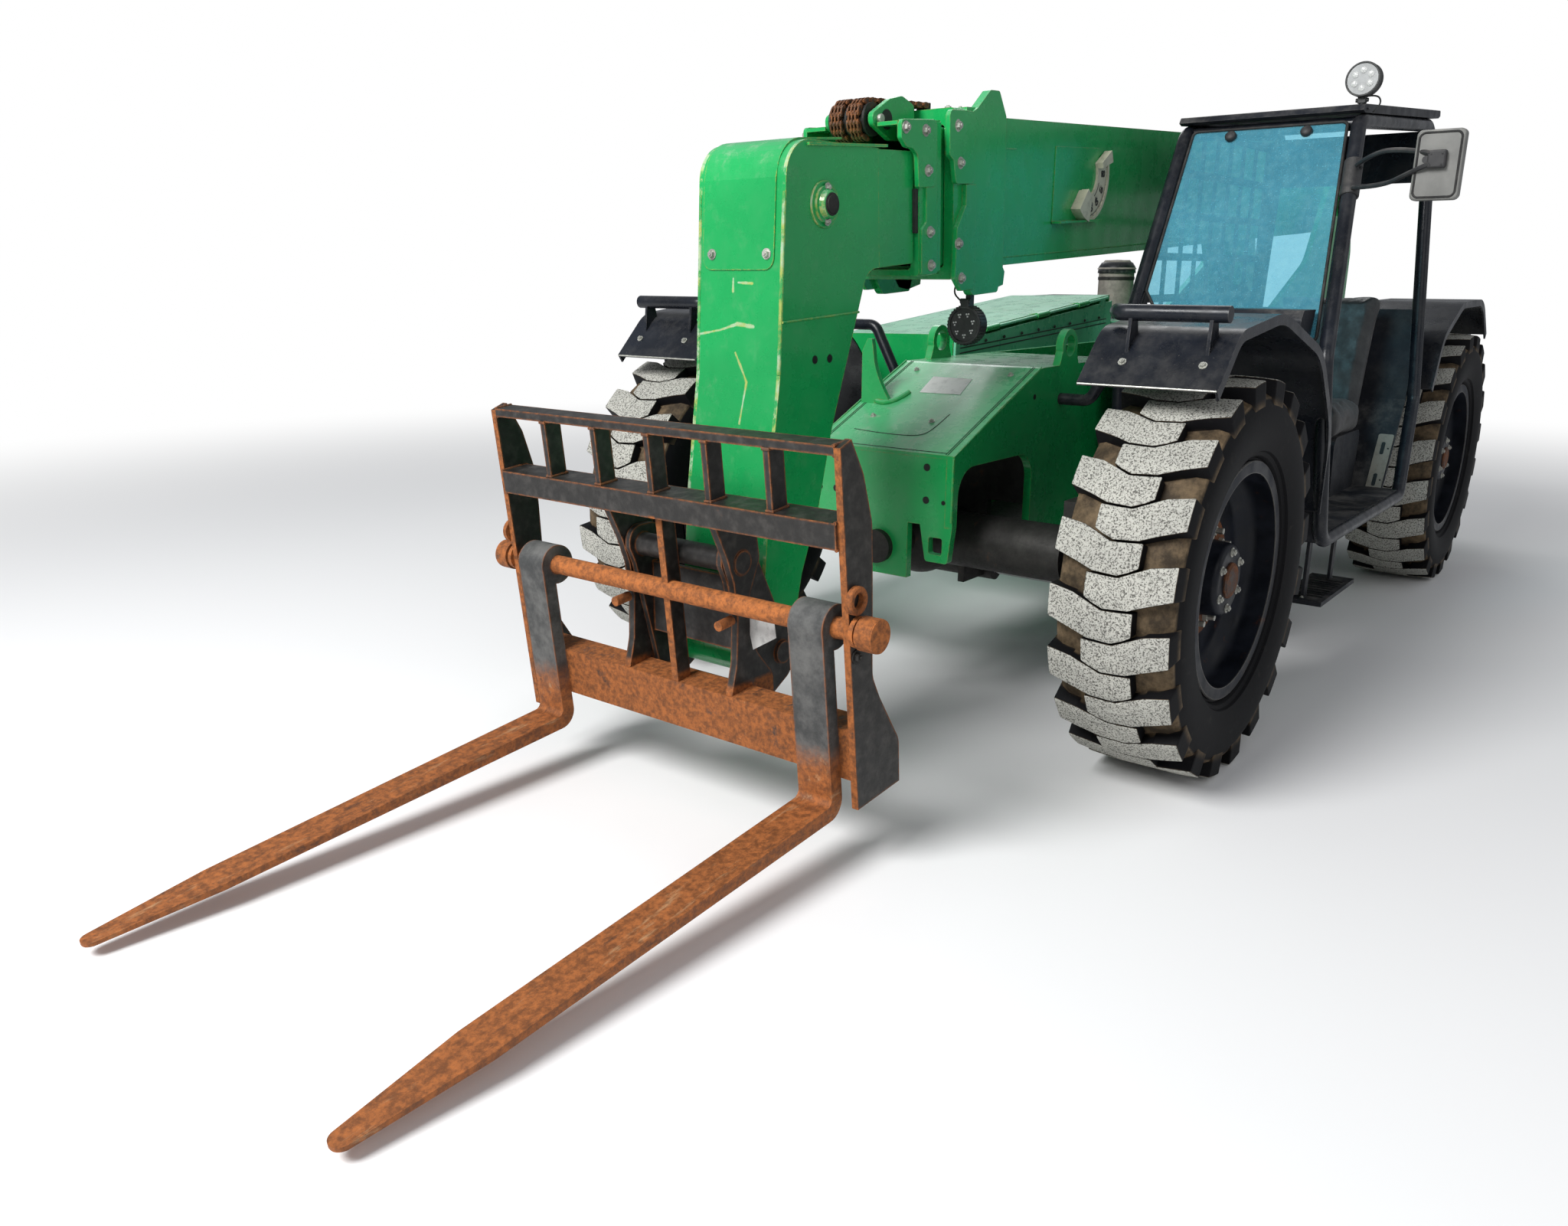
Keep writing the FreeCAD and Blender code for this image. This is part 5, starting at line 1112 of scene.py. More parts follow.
class TELEHANDLER_OT_middle_section(bpy.types.Operator):
    """Make the middle section with its collar, bolted plates and sheave arms"""

    bl_idname = "telehandler.middle_section"
    bl_label = "Middle boom section"

    def execute(self, context):
        body = bmesh.new()
        add_square_tube(body, 0.250, 4.330, MID_BODY, MID_BORE)
        piece("middle_tube", body, "boom_mid", "green_paint", ("boom_mid",))

        collar = bmesh.new()
        add_square_tube(collar, COLLAR_BACK, COLLAR_FRONT, (0.178, -0.153, 0.321), (0.146, -0.132, 0.306))
        piece("middle_collar", collar, "boom_mid", "green_paint")

        plates = bmesh.new()
        for side in (1, -1):
            top = rounded([(4.484, 0.315, 0.015), (4.484, 0.262, 0.01), (4.455, 0.236, 0.02),
                           (4.420, 0.232, 0.016),
                           (4.392, 0.215, 0.020), (4.385, 0.118, 0.006), (4.280, 0.120, 0.018),
                           (4.280, 0.320, 0.020)])
            boom_plate(plates, top, side, COLLAR_SIDE, 0.016, 0.0015)
            low = rounded([(4.362, -0.010, 0.012), (4.335, 0.012, 0.012), (4.335, 0.130, 0),
                           (4.272, 0.130, 0),
                           (4.264, -0.150, 0.010), (4.362, -0.150, 0.010)])
            boom_plate(plates, low, side, COLLAR_SIDE, 0.012, 0.0015)
            web = [on_boom(u, side * 0.100, v) for u, v in
                   ((4.240, 0.300), (4.484, 0.300), (4.484, 0.312), (4.240, 0.320))]
            add_plate(plates, web, (0, side * 0.076, 0))
            arm = rounded([(4.262, 0.262, 0.010), (4.400, 0.262, 0.040), (4.495, 0.306, 0.020),
                           (4.497, 0.338, 0.020),
                           (4.400, 0.383, 0.050), (4.330, 0.395, 0.040), (4.262, 0.370, 0.015)])
            boom_plate(plates, arm, side, SHEAVE_ARM_SIDE, 0.018, 0.002)
        piece("middle_plates", plates, "boom_mid", "green_paint")

        bolts = bmesh.new()
        dark = bmesh.new()
        for side in (1, -1):
            out = (0, side, 0)
            for u, v in ((4.462, 0.292), (4.349, 0.286), (4.334, 0.168)):
                add_bolt(bolts, on_boom(u, side * 0.190, v), out, 0.024)
            for u, v in ((4.314, -0.018), (4.308, -0.122)):
                add_bolt(bolts, on_boom(u, side * 0.186, v), out, 0.024)
            add_bar(dark, on_boom(4.420, side * 0.091, 0.322), on_boom(4.420, side * 0.0935, 0.322),
                    0.030, sides=28)
            add_bar(bolts, on_boom(SHEAVE[0], side * 0.088, SHEAVE[1]),
                    on_boom(SHEAVE[0], side * 0.104, SHEAVE[1]),
                    0.014, sides=16, bevel=0.002)
            # Painted shade: a dark band just in front of each collar side fills the gap before the head.
            pad = rounded([(4.366, -0.020, 0.004), (4.366, 0.115, 0.004), (4.384, 0.115, 0.004),
                           (4.384, -0.020, 0.004)])
            boom_plate(dark, pad, side, GAP_SHADE_SIDE, 0.010)
        piece("middle_bolts", bolts, "boom_mid", "bolt_zinc")
        piece("middle_gap_shade_and_arm_disc", dark, "boom_mid", "rubber_trim")
        return {"FINISHED"}


class TELEHANDLER_OT_chains(bpy.types.Operator):
    """Make the two leaf chains over their roller"""

    bl_idname = "telehandler.chains"
    bl_label = "Extension chains"

    pitch = 0.022
    lanes = (-0.032, 0.032)
    leaf_offsets = (-0.0195, -0.0130, -0.0065, 0.0, 0.0065, 0.0130, 0.0195)
    wrap_radius = 0.0565
    back = 4.106

    def route(self):
        """Pin places of (u, v, turn) from the front underside, over the roller and back."""
        around = math.pi * 0.98
        pins = []
        steps = int(around * self.wrap_radius / self.pitch)
        for i in range(steps + 1):
            angle = -0.55 * math.pi + 0.25 + (around + 0.05) * i / steps
            pins.append((SHEAVE[0] + self.wrap_radius * math.cos(angle),
                         SHEAVE[1] + self.wrap_radius * math.sin(angle)))
        u = SHEAVE[0] - 0.012
        while u > self.back:
            pins.append((u, SHEAVE[1] + self.wrap_radius))
            u -= self.pitch
        return pins

    def execute(self, context):
        links = bmesh.new()
        pins = self.route()
        for lane in self.lanes:
            for i, (first, second) in enumerate(zip(pins, pins[1:])):
                middle = ((first[0] + second[0]) / 2, (first[1] + second[1]) / 2)
                turn = math.atan2(second[1] - first[1], second[0] - first[0])
                length = math.hypot(second[0] - first[0], second[1] - first[1])
                for k, offset in enumerate(self.leaf_offsets):
                    if (i + k) % 2:
                        continue
                    leaf = bmesh.ops.create_cone(links, cap_ends=True, segments=10, radius1=0.0095,
                                                 radius2=0.0095,
                                                 depth=0.0052,
                                                 matrix=Matrix.Rotation(math.pi / 2, 4, "X"))["verts"]
                    bmesh.ops.scale(links, verts=leaf, vec=((length + 0.017) / 0.019, 1, 1))
                    bmesh.ops.rotate(links, verts=leaf, cent=(0, 0, 0),
                                     matrix=Matrix.Rotation(-turn, 3, "Y"))
                    for v in leaf:
                        v.co = on_boom(middle[0] + v.co.x, lane + offset + v.co.y, middle[1] + v.co.z)
            for u, v in pins:
                add_bar(links, on_boom(u, lane - 0.0235, v), on_boom(u, lane + 0.0235, v), 0.0042, sides=8)
        piece("leaf_chains", links, "boom_mid", "chain_steel", ("extend_chain",))

        roller = bmesh.new()
        section = [(0.0, -0.068), (0.050, -0.068), (0.050, -0.060), (0.045, -0.058), (0.045, -0.006),
                   (0.052, -0.004),
                   (0.052, 0.004), (0.045, 0.006), (0.045, 0.058), (0.050, 0.060), (0.050, 0.068),
                   (0.0, 0.068)]
        add_turned(roller, on_boom(SHEAVE[0], 0, SHEAVE[1]), (0, 1, 0), section, 40)
        piece("chain_roller", roller, "boom_mid", "dark_steel")

        anchor = bmesh.new()
        for lane in self.lanes:
            top = SHEAVE[1] + self.wrap_radius
            corners = rounded([(self.back + 0.020, -0.022, 0.004), (self.back + 0.020, 0.022, 0.004),
                               (self.back - 0.004, 0.022, 0.004), (self.back - 0.004, -0.022, 0.004)])
            loop = [on_boom(u, lane + y, top - 0.050) for u, y in corners]
            add_plate(anchor, loop, (0, 0, 0.058), 0.002)
        piece("chain_anchors", anchor, "boom_mid", "dark_steel")
        return {"FINISHED"}


class TELEHANDLER_OT_outer_section(bpy.types.Operator):
    """Make the outer section's bolted plates, hook plates, top bracket and bolts"""

    bl_idname = "telehandler.outer_section"
    bl_label = "Outer boom section details"

    def execute(self, context):
        plates = bmesh.new()
        bolts = bmesh.new()
        for side in (1, -1):
            out = (0, side, 0)
            top = rounded([(4.222, 0.352, 0.020), (4.222, 0.215, 0.012), (4.196, 0.200, 0.016),
                           (4.180, 0.128, 0.014),
                           (4.062, 0.128, 0.020), (4.062, 0.352, 0.024)])
            boom_plate(plates, top, side, OUTER_PLATE_SIDE, OUTER_PLATE_THICK, 0.0015)
            low = rounded([(4.170, -0.010, 0.020), (4.115, 0.060, 0), (4.115, 0.126, 0), (4.050, 0.126, 0),
                           (4.050, -0.160, 0), (4.050, -0.214, 0.012), (4.140, -0.214, 0.012),
                           (4.182, -0.170, 0.014)])
            boom_plate(plates, low, side, OUTER_PLATE_SIDE, OUTER_PLATE_THICK, 0.0015)
            for u, v in ((4.172, 0.305), (4.154, 0.192)):
                add_bolt(bolts, on_boom(u, side * OUTER_BOLT_SIDE, v), out, 0.025)
            for u, v in ((4.160, -0.060), (4.140, -0.172)):
                add_bolt(bolts, on_boom(u, side * OUTER_BOLT_SIDE, v), out, 0.025)
            hook = [(-0.150, 1.700), (-0.122, 1.668), (-0.078, 1.673), (-0.040, 1.600), (-0.036, 1.556),
                    (-0.060, 1.530), (-0.120, 1.522), (-0.205, 1.540), (-0.212, 1.586), (-0.170, 1.630),
                    (-0.180, 1.700)]
            add_plate(plates, [at(x, side * 0.170, z) for x, z in hook], (0, side * 0.012, 0), 0.002)
            seam = [on_boom(u, side * OUTER_SEAM_SIDE, -0.120) for u in (0.9, 2.4, 3.84)]
            add_wire(plates, seam, 0.0025)
            seam = [on_boom(u, side * OUTER_SEAM_SIDE, 0.244) for u in (3.72, 3.80)]
            add_wire(plates, seam, 0.0025)
        add_square_tube(plates, 4.090, 4.170, (0.186, -0.175, 0.362), (0.150, -0.136, 0.312))
        piece("outer_plates", plates, "boom_outer", "green_paint")
        top_nuts = [(u, y) for u in (3.955, 4.035) for y in (-0.080, 0.080)]
        for u, y in top_nuts:
            add_bolt(bolts, on_boom(u, y, 0.365), (math.sin(BOOM_SLOPE), 0, math.cos(BOOM_SLOPE)), 0.022)
        piece("outer_bolts", bolts, "boom_outer", "bolt_zinc")
        return {"FINISHED"}


# Dial and lamps of the boom


def add_number(shape, text, centre, across, up, height):
    """Flat number that reads along one direction, its top towards another."""
    curve = bpy.data.curves.new("number", "FONT")
    curve.body = text
    curve.size = height
    curve.extrude = 0.0006
    curve.offset = 0.0012
    curve.align_x = "CENTER"
    curve.align_y = "CENTER"
    holder = bpy.data.objects.new("number", curve)
    mesh = bpy.data.meshes.new_from_object(holder)
    first = len(shape.verts)
    shape.from_mesh(mesh)
    across, up = Vector(across).normalized(), Vector(up).normalized()
    turn = Matrix((across, up, across.cross(up))).transposed().to_4x4()
    shape.verts.ensure_lookup_table()
    bmesh.ops.transform(shape, verts=shape.verts[first:], matrix=Matrix.Translation(centre) @ turn)
    bpy.data.meshes.remove(mesh)
    bpy.data.objects.remove(holder)
    bpy.data.curves.remove(curve)


class TELEHANDLER_OT_angle_dial(bpy.types.Operator):
    """Make the boom angle dial on its plate"""

    bl_idname = "telehandler.angle_dial"
    bl_label = "Angle dial"

    centre = (-0.846, 1.953)
    outer = 0.180
    inner = 0.084
    start = 148
    end = 312

    def around(self, degrees, radius, y):
        """Point of the dial at an angle and a radius."""
        angle = math.radians(degrees)
        return at(self.centre[0] + radius * math.cos(angle), y, self.centre[1] + radius * math.sin(angle))

    def add_arc(self, shape, inner, outer, y0, y1, start=None, end=None):
        """Thick arc between two radii."""
        start, end = start or self.start, end or self.end
        turns = [start + (end - start) * i / 24 for i in range(25)]
        loop = [self.around(t, outer, y0) for t in turns] + [self.around(t, inner, y0) for t in turns[::-1]]
        add_plate(shape, loop, (0, y1 - y0, 0))

    def execute(self, context):
        plate = bmesh.new()
        corners = [(-0.575, 1.760), (-0.575, 2.035), (-0.945, 2.055), (-0.945, 1.780)]
        add_plate(plate, [at(x, 0.1703, z) for x, z in corners], (0, 0.0035, 0), 0.001)
        ledge = [(-0.575, 1.760), (-0.575, 1.768), (-0.945, 1.788), (-0.945, 1.780)]
        add_plate(plate, [at(x, 0.1703, z) for x, z in ledge], (0, 0.040, 0))
        piece("dial_plate", plate, "boom_outer", "green_paint", ("angle_dial",))
        dial = bmesh.new()
        self.add_arc(dial, self.inner, self.outer, 0.1735, 0.184)
        self.add_arc(dial, self.outer - 0.014, self.outer, 0.184, 0.188)
        self.add_arc(dial, self.inner + 0.002, self.outer, 0.184, 0.205, self.start, self.start + 15)
        self.add_arc(dial, self.inner - 0.004, self.outer + 0.002, 0.184, 0.214, self.end - 32, self.end)
        soften(dial, [e for e in dial.edges if e.calc_length() > 0.05], 0.002)
        piece("dial_arc", dial, "boom_outer", "dial_beige")
        ink = bmesh.new()
        for text, turn in (("80", 176), ("60", 203), ("40", 229), ("20", 252)):
            centre = self.around(turn, 0.128, 0.1848)
            out = (centre - at(self.centre[0], 0.1848, self.centre[1])).normalized()
            add_number(ink, text, centre, out, out.cross((0, 1, 0)), 0.034)
        for i in range(41):
            turn = 168 + i * 2.3
            length = 0.012 if i % 5 == 0 else 0.006
            half = math.radians(0.32)
            loop = [self.around(turn + math.degrees(k * half), r, 0.1842)
                    for k, r in ((-1, 0.154), (1, 0.154), (1, 0.154 + length), (-1, 0.154 + length))]
            add_plate(ink, loop, (0, 0.0008, 0))
        self.add_arc(ink, 0.098, 0.102, 0.1838, 0.1846, 196, 232)
        self.add_arc(ink, 0.098, 0.103, 0.1838, 0.1846, 246, 262)
        piece("dial_marks", ink, "boom_outer", "dial_ink")
        return {"FINISHED"}


class TELEHANDLER_OT_lamps(bpy.types.Operator):
    """Make the bezels, emitters and brackets of the two round lamps"""

    bl_idname = "telehandler.lamps"
    bl_label = "Lamps"

    hanging = (0.0115, 0.154, 1.4047)
    roof = (-1.305, 1.030, 2.270)

    def execute(self, context):
        ahead = Vector((1, 0, 0))
        face = at(*self.hanging)
        black = bmesh.new()
        add_ring(black, face - ahead * 0.004, ahead, 0.0655, 0.056, 0.009, 48)
        for i in range(36):
            angle = 2 * math.pi * i / 36
            spoke = Vector((0, math.cos(angle), math.sin(angle)))
            side = Vector((0, -math.sin(angle), math.cos(angle))) * 0.0022
            foot = face + spoke * 0.062 - ahead * 0.040
            loop = [foot - side, foot + side, foot + side + spoke * 0.0075, foot - side + spoke * 0.0075]
            add_plate(black, loop, ahead * 0.040)
        add_block(black, face + Vector((-0.018, -0.016, 0.058)), face + Vector((0.006, 0.016, 0.090)),
                  0.004)
        add_bar(black, face + Vector((-0.006, -0.020, 0.082)), face + Vector((-0.006, 0.020, 0.082)),
                0.009, sides=16)
        add_wire(black, [face + Vector(p) for p in ((-0.020, -0.006, 0.066), (-0.030, -0.040, 0.085),
                                                    (-0.030, -0.066, 0.110), (-0.028, -0.050, 0.150),
                                                    (-0.020, -0.010, 0.160))], 0.003, 8, 1.0)
        piece("hanging_lamp_shell", black, "boom_outer", "lamp_shell")
        leds = bmesh.new()
        for i in range(7):
            angle = 2 * math.pi * i / 7 + 0.3
            spot = face + Vector((0.0006, 0.037 * math.cos(angle), 0.037 * math.sin(angle)))
            for dy, dz in ((-0.004, 0.003), (0.004, 0.004), (0.0, -0.005)):
                add_bar(leds, spot + Vector((0, dy, dz)), spot + Vector((0.0025, dy, dz)), 0.0032, sides=8)
        piece("hanging_lamp_leds", leds, "boom_outer", "lamp_face")

        face = at(*self.roof)
        rim = bmesh.new()
        add_bar(rim, face - ahead * 0.048, face - ahead * 0.006, 0.0590, sides=48, bevel=0.004)
        add_ring(rim, face - ahead * 0.012, ahead, 0.0605, 0.0535, 0.016, 56, 0.002)
        for i in range(9):
            foot = face + Vector((-0.046 + i * 0.0045, 0, 0))
            add_ring(rim, foot, ahead, 0.0602, 0.0570, 0.0022, 40, 0.0004)
        add_block(rim, face + Vector((-0.040, -0.015, -0.082)), face + Vector((-0.018, 0.015, -0.054)),
                  0.003)
        add_bar(rim, face + Vector((-0.028, -0.022, -0.070)), face + Vector((-0.028, 0.022, -0.070)),
                0.007, sides=14)
        add_block(rim, face + Vector((-0.040, -0.030, -0.104)), face + Vector((-0.016, 0.030, -0.098)),
                  0.002)
        add_bar(rim, face + Vector((-0.028, 0, -0.110)), face + Vector((-0.028, 0, -0.070)), 0.009,
                sides=14)
        add_wire(rim, [face + Vector(p) for p in ((-0.040, 0.012, -0.056), (-0.040, 0.048, -0.053),
                                                  (-0.045, 0.064, -0.078), (-0.050, 0.048, -0.102),
                                                  (-0.055, 0.036, -0.112))], 0.0030, 8, 1.0)
        piece("roof_lamp_rim", rim, "chassis", "lamp_shell", ("work_lamp",))
        bezel = bmesh.new()
        add_bar(bezel, face - ahead * 0.004, face + ahead * 0.0015, 0.0537, sides=48)
        piece("roof_lamp_bezel", bezel, "chassis", "lamp_bezel")
        leds = bmesh.new()
        for i in range(6):
            angle = 2 * math.pi * i / 6 + math.pi / 2
            spot = face + Vector((0.001, 0.031 * math.cos(angle), 0.031 * math.sin(angle)))
            add_turned(leds, spot, ahead, [(0.0, 0.005), (0.0, 0.0), (0.0120, 0.0), (0.0112, 0.0025),
                                           (0.0065, 0.0045)], 18)
        piece("roof_lamp_leds", leds, "chassis", "lamp_face")
        return {"FINISHED"}


# Front frame


DECK_SLOPE = 0.4248
DECK_NORMAL = Vector((DECK_SLOPE, 0, 1)).normalized()


def on_deck(x, y, lift=0.0):
    """Point on the sloping deck, lifted off it."""
    return at(x, y, 0.988 + (0.285 - x) * DECK_SLOPE) + DECK_NORMAL * lift


class TELEHANDLER_OT_deck(bpy.types.Operator):
    """Make the seams, bolts, blank plate and rest plate of the front deck"""

    bl_idname = "telehandler.deck"
    bl_label = "Front deck"

    def execute(self, context):
        seams = bmesh.new()
        add_wire(seams, [on_deck(0.272, y) for y in (-0.262, 0.262)], 0.0016)
        for side in (1, -1):
            for y in (0.262, 0.270):
                add_wire(seams, [on_deck(x, side * y, 0.0002) for x in (0.280, 0.0, -0.318)], 0.0015)
        add_wire(seams, [on_deck(0.180, -0.190), on_deck(0.190, -0.100), on_deck(0.192, 0.040),
                         on_deck(0.180, 0.105),
                         on_deck(0.130, 0.122), on_deck(0.036, 0.124)], 0.0018, 8, 1.0)
        piece("deck_seams", seams, "chassis", "void")
        bolts = bmesh.new()
        for x, y in ((0.090, 0.084), (0.087, -0.171), (-0.255, 0.205), (-0.255, -0.205)):
            add_bolt(bolts, on_deck(x, y), DECK_NORMAL, 0.015)
        piece("deck_bolts", bolts, "chassis", "bolt_zinc")
        label = bmesh.new()
        corners = ((-0.094, -0.088), (-0.211, -0.101), (-0.210, 0.070), (-0.097, 0.086))
        add_plate(label, [on_deck(x, y, 0.0003) for x, y in corners], DECK_NORMAL * 0.0014, 0.0004)
        piece("blank_deck_plate", label, "chassis", "white_plate")

        rest = bmesh.new()
        outline = [(-0.285, 1.090), (-0.285, 1.300), (-0.262, 1.345), (-0.242, 1.345), (-0.236, 1.315)]
        for i in range(9):
            t = i / 8
            outline.append((-0.232 + 0.070 * t ** 1.6, 1.285 - 0.160 * t))
        outline += [(-0.160, 1.090)]
        add_plate(rest, [at(0.004, y, z) for y, z in outline], (-0.022, 0, 0), 0.002)
        add_wire(rest, [on_deck(-0.055, -0.268, 0.004), on_deck(-0.012, -0.240, 0.006),
                        on_deck(0.010, -0.180, 0.006),
                        on_deck(-0.030, -0.135, 0.005), on_deck(-0.085, -0.128, 0.004)], 0.010, 12, 1.0)
        piece("rest_plate", rest, "chassis", "green_paint")

        # Dark discs over the frame's holes: painted shade inside them.
        holes = bmesh.new()
        for side in (1, -1):
            for z in (0.941, 0.827):
                add_bar(holes, at(0.2835, side * 0.192, z), at(0.2862, side * 0.192, z), 0.013, sides=20)
            add_bar(holes, at(0.2835, side * 0.262, 0.825), at(0.2862, side * 0.262, 0.825), 0.008,
                    sides=16)
            add_bar(holes, at(-0.269, side * 0.2985, 1.143), at(-0.269, side * 0.3012, 1.143), 0.010,
                    sides=16)
        piece("frame_hole_shade", holes, "chassis", "void")
        welds = bmesh.new()
        for side in (1, -1):
            add_wire(welds, [at(0.286, side * 0.296, z) for z in (0.760, 0.980)], 0.004)
            add_wire(welds, [at(0.286, side * 0.296, 0.984), on_deck(0.0, side * 0.296, 0.002),
                             on_deck(-0.318, side * 0.296, 0.002)], 0.0035)
        piece("frame_welds", welds, "chassis", "green_paint")
        return {"FINISHED"}


class TELEHANDLER_OT_hood_trim(bpy.types.Operator):
    """Make the long seams and screws of the engine side"""

    bl_idname = "telehandler.hood_trim"
    bl_label = "Engine side trim"

    def execute(self, context):
        seams = bmesh.new()
        y = -0.392
        for drop in (0.0, 0.022):
            add_wire(seams, [at(-0.900, y, 1.262 - drop), at(-2.400, y, 1.345 - drop)], 0.0028)
        piece("engine_wall_seams", seams, "chassis", "void")
        screws = bmesh.new()
        for i in range(9):
            x = -0.95 - i * 0.17
            add_bolt(screws, at(x, y, 1.275 + (-x - 0.9) * 0.055), (0, 1, 0), 0.010)
        piece("engine_wall_screws", screws, "chassis", "dark_steel")
        return {"FINISHED"}


# Carriage


class TELEHANDLER_OT_carriage_details(bpy.types.Operator):
    """Make the carriage's caps, ring eye, stubs, bolts, welds and blank tag"""

    bl_idname = "telehandler.carriage_details"
    bl_label = "Carriage details"

    def execute(self, context):
        rusty = bmesh.new()
        dark = bmesh.new()
        for side in (1, -1):
            out = Vector((0, side, 0))
            end = on_carriage(0, side * 0.738, 0)
            add_ring(rusty, end - out * 0.050, out, 0.046, 0.030, 0.0515, 32, 0.003)
            add_bar(dark, end - out * 0.010, end - out * 0.003, 0.030, sides=28)
            add_ring(rusty, end - out * 0.004, out, 0.018, 0.010, 0.0045, 20, 0.001)
            eye = on_carriage(0.006, side * 0.676, 0.088)
            add_ring(rusty, eye - out * 0.009, out, 0.038, 0.021, 0.018, 28, 0.003)
            add_bolt(dark, on_carriage(0.006, side * 0.666, -0.068), out, 0.026)
            stub = on_carriage(-0.030, side * 0.208, -0.066)
            add_bar(rusty, stub, on_carriage(0.030, side * 0.208, -0.066), 0.015, sides=20, bevel=0.002)
        piece("carriage_caps", rusty, "carriage", "bar_rust")
        piece("carriage_sockets", dark, "carriage", "dark_steel")

        welds = bmesh.new()
        for y in (-0.430, -0.215, 0.0, 0.215, 0.430):
            for z in (0.297, 0.461):
                loop = [on_carriage(x, y + dy, z) for x,
                        dy in ((0.031, -0.011), (0.031, 0.011), (-0.031, 0.011),
                                                                (-0.031, -0.011), (0.031, -0.011))]
                add_wire(welds, loop, 0.0045)
        for side in (1, -1):
            for z in (0.225, 0.295, 0.463, 0.488, -0.285, -0.435):
                front = 0.041 if 0.2 < z < 0.3 else (0.031 if z > 0.3 else 0.0165)
                add_wire(welds, [on_carriage(front - 0.002, side * 0.643, z),
                                 on_carriage(-0.032, side * 0.643, z)], 0.005)
        piece("carriage_welds", welds, "carriage", "carriage_black")

        tag = bmesh.new()
        corners = ((0.232, 0.652), (0.338, 0.650), (0.348, 0.590), (0.262, 0.538))
        add_plate(tag, [at(1.258, y - 0.03, z) for y, z in corners], (0.0015, 0, 0), 0.0004)
        piece("blank_tag", tag, "carriage", "white_plate")
        return {"FINISHED"}
# Cab, mirrors and fenders


class TELEHANDLER_OT_seat(bpy.types.Operator):
    """Make the seat's padded cushion and back"""

    bl_idname = "telehandler.seat"
    bl_label = "Seat"

    def execute(self, context):
        cushion = bmesh.new()
        add_block(cushion, at(-2.040, 0.545, 0.902), at(-1.650, 1.015, 1.024), 0.030)
        back = bmesh.new()
        side = ((-2.052, 0.905), (-2.108, 0.905), (-2.285, 1.470), (-2.190, 1.485))
        add_plate(back, [at(x, 0.565, z) for x, z in side], (0, 0.430, 0), 0.030)
        for name, shape in (("seat_cushion", cushion), ("seat_back", back)):
            pad = piece(name, shape, "chassis", "seat_vinyl", ("seat",), True)
            pad = swell(pad)
        return {"FINISHED"}


def swell(pad):
    """Fill a piece like a cushion: even mesh, a short cloth run under pressure, then fixed."""
    mesh = pad.modifiers.new("even", "REMESH")
    mesh.mode = "VOXEL"
    mesh.voxel_size = 0.012
    cloth = pad.modifiers.new("fill", "CLOTH")
    cloth.settings.use_pressure = True
    cloth.settings.uniform_pressure_force = 4.0
    cloth.settings.effector_weights.gravity = 0.0
    cloth.settings.quality = 4
    cloth.point_cache.frame_start = 1
    cloth.point_cache.frame_end = 12
    scene = bpy.context.scene
    rest = None
    for frame in range(1, 13):
        scene.frame_set(frame)
        graph = bpy.context.evaluated_depsgraph_get()
        made = pad.evaluated_get(graph).to_mesh()
        places = [v.co.copy() for v in made.vertices]
        pad.evaluated_get(graph).to_mesh_clear()
        rest = rest or places
    graph = bpy.context.evaluated_depsgraph_get()
    filled = bpy.data.meshes.new_from_object(pad.evaluated_get(graph))
    for vertex, start, end in zip(filled.vertices, rest, places):
        move = end - start
        cap = finish().pad_swell
        vertex.co = start + (move if move.length < cap else move.normalized() * cap)
    pad.modifiers.clear()
    pad.data = filled
    scene.frame_set(1)
    for face in filled.polygons:
        face.use_smooth = True
    return pad


def pane_point(s, y, lift=0.0):
    """Point of the windscreen's plane, s metres up its slope."""
    return at(-0.812 - 0.502 * s + 0.8647 * lift, y, 1.285 + 0.8647 * s + 0.502 * lift)


class TELEHANDLER_OT_windscreen(bpy.types.Operator):
    """Make the windscreen with its rubber edge and knobs"""

    bl_idname = "telehandler.windscreen"
    bl_label = "Windscreen"

    def execute(self, context):
        def outer(s):
            return 1.150 - 0.8647 * s * 0.1325 - 0.040

        low, high, inner = 0.066, 0.970, 0.4165
        corners = [(low, inner + 0.140, 0.010), (low, outer(low), 0.020), (high, outer(high), 0.020),
                   (high, inner, 0.020), (0.262, inner, 0.010)]
        loop = rounded(corners, 4)
        pane = bmesh.new()
        add_plate(pane, [pane_point(s, y, -0.0025) for s, y in loop],
                  Vector((0.8647, 0.0, 0.502)) * 0.005)
        piece("windscreen_pane", pane, "chassis", "cab_glass", ("windscreen",))
        edge = bmesh.new()
        add_wire(edge, [pane_point(s, y, 0.003) for s, y in loop + loop[:1]], 0.0062)
        knobs = bmesh.new()
        for y in (0.574, 0.860):
            add_turned(knobs, pane_point(0.935, y, 0.003), (0.8647, 0, 0.502),
                       [(0.0, 0.0), (0.020, 0.0), (0.022, 0.006), (0.021, 0.014), (0.016, 0.020),
                        (0.0, 0.021)], 20)
        piece("windscreen_edge", edge, "chassis", "rubber_trim", (), True)
        piece("windscreen_knobs", knobs, "chassis", "cab_plastic", (), True)
        return {"FINISHED"}


def plate_loop(y, z, wide, high, inset):
    """Rounded loop inside a mirror's head, given from its low corner."""
    low, left, top, right = z + inset, y + inset, z + high - inset, y + wide - inset
    return rounded([(left, low, 0.018), (right, low, 0.018), (right, top, 0.018), (left, top, 0.018)], 5)


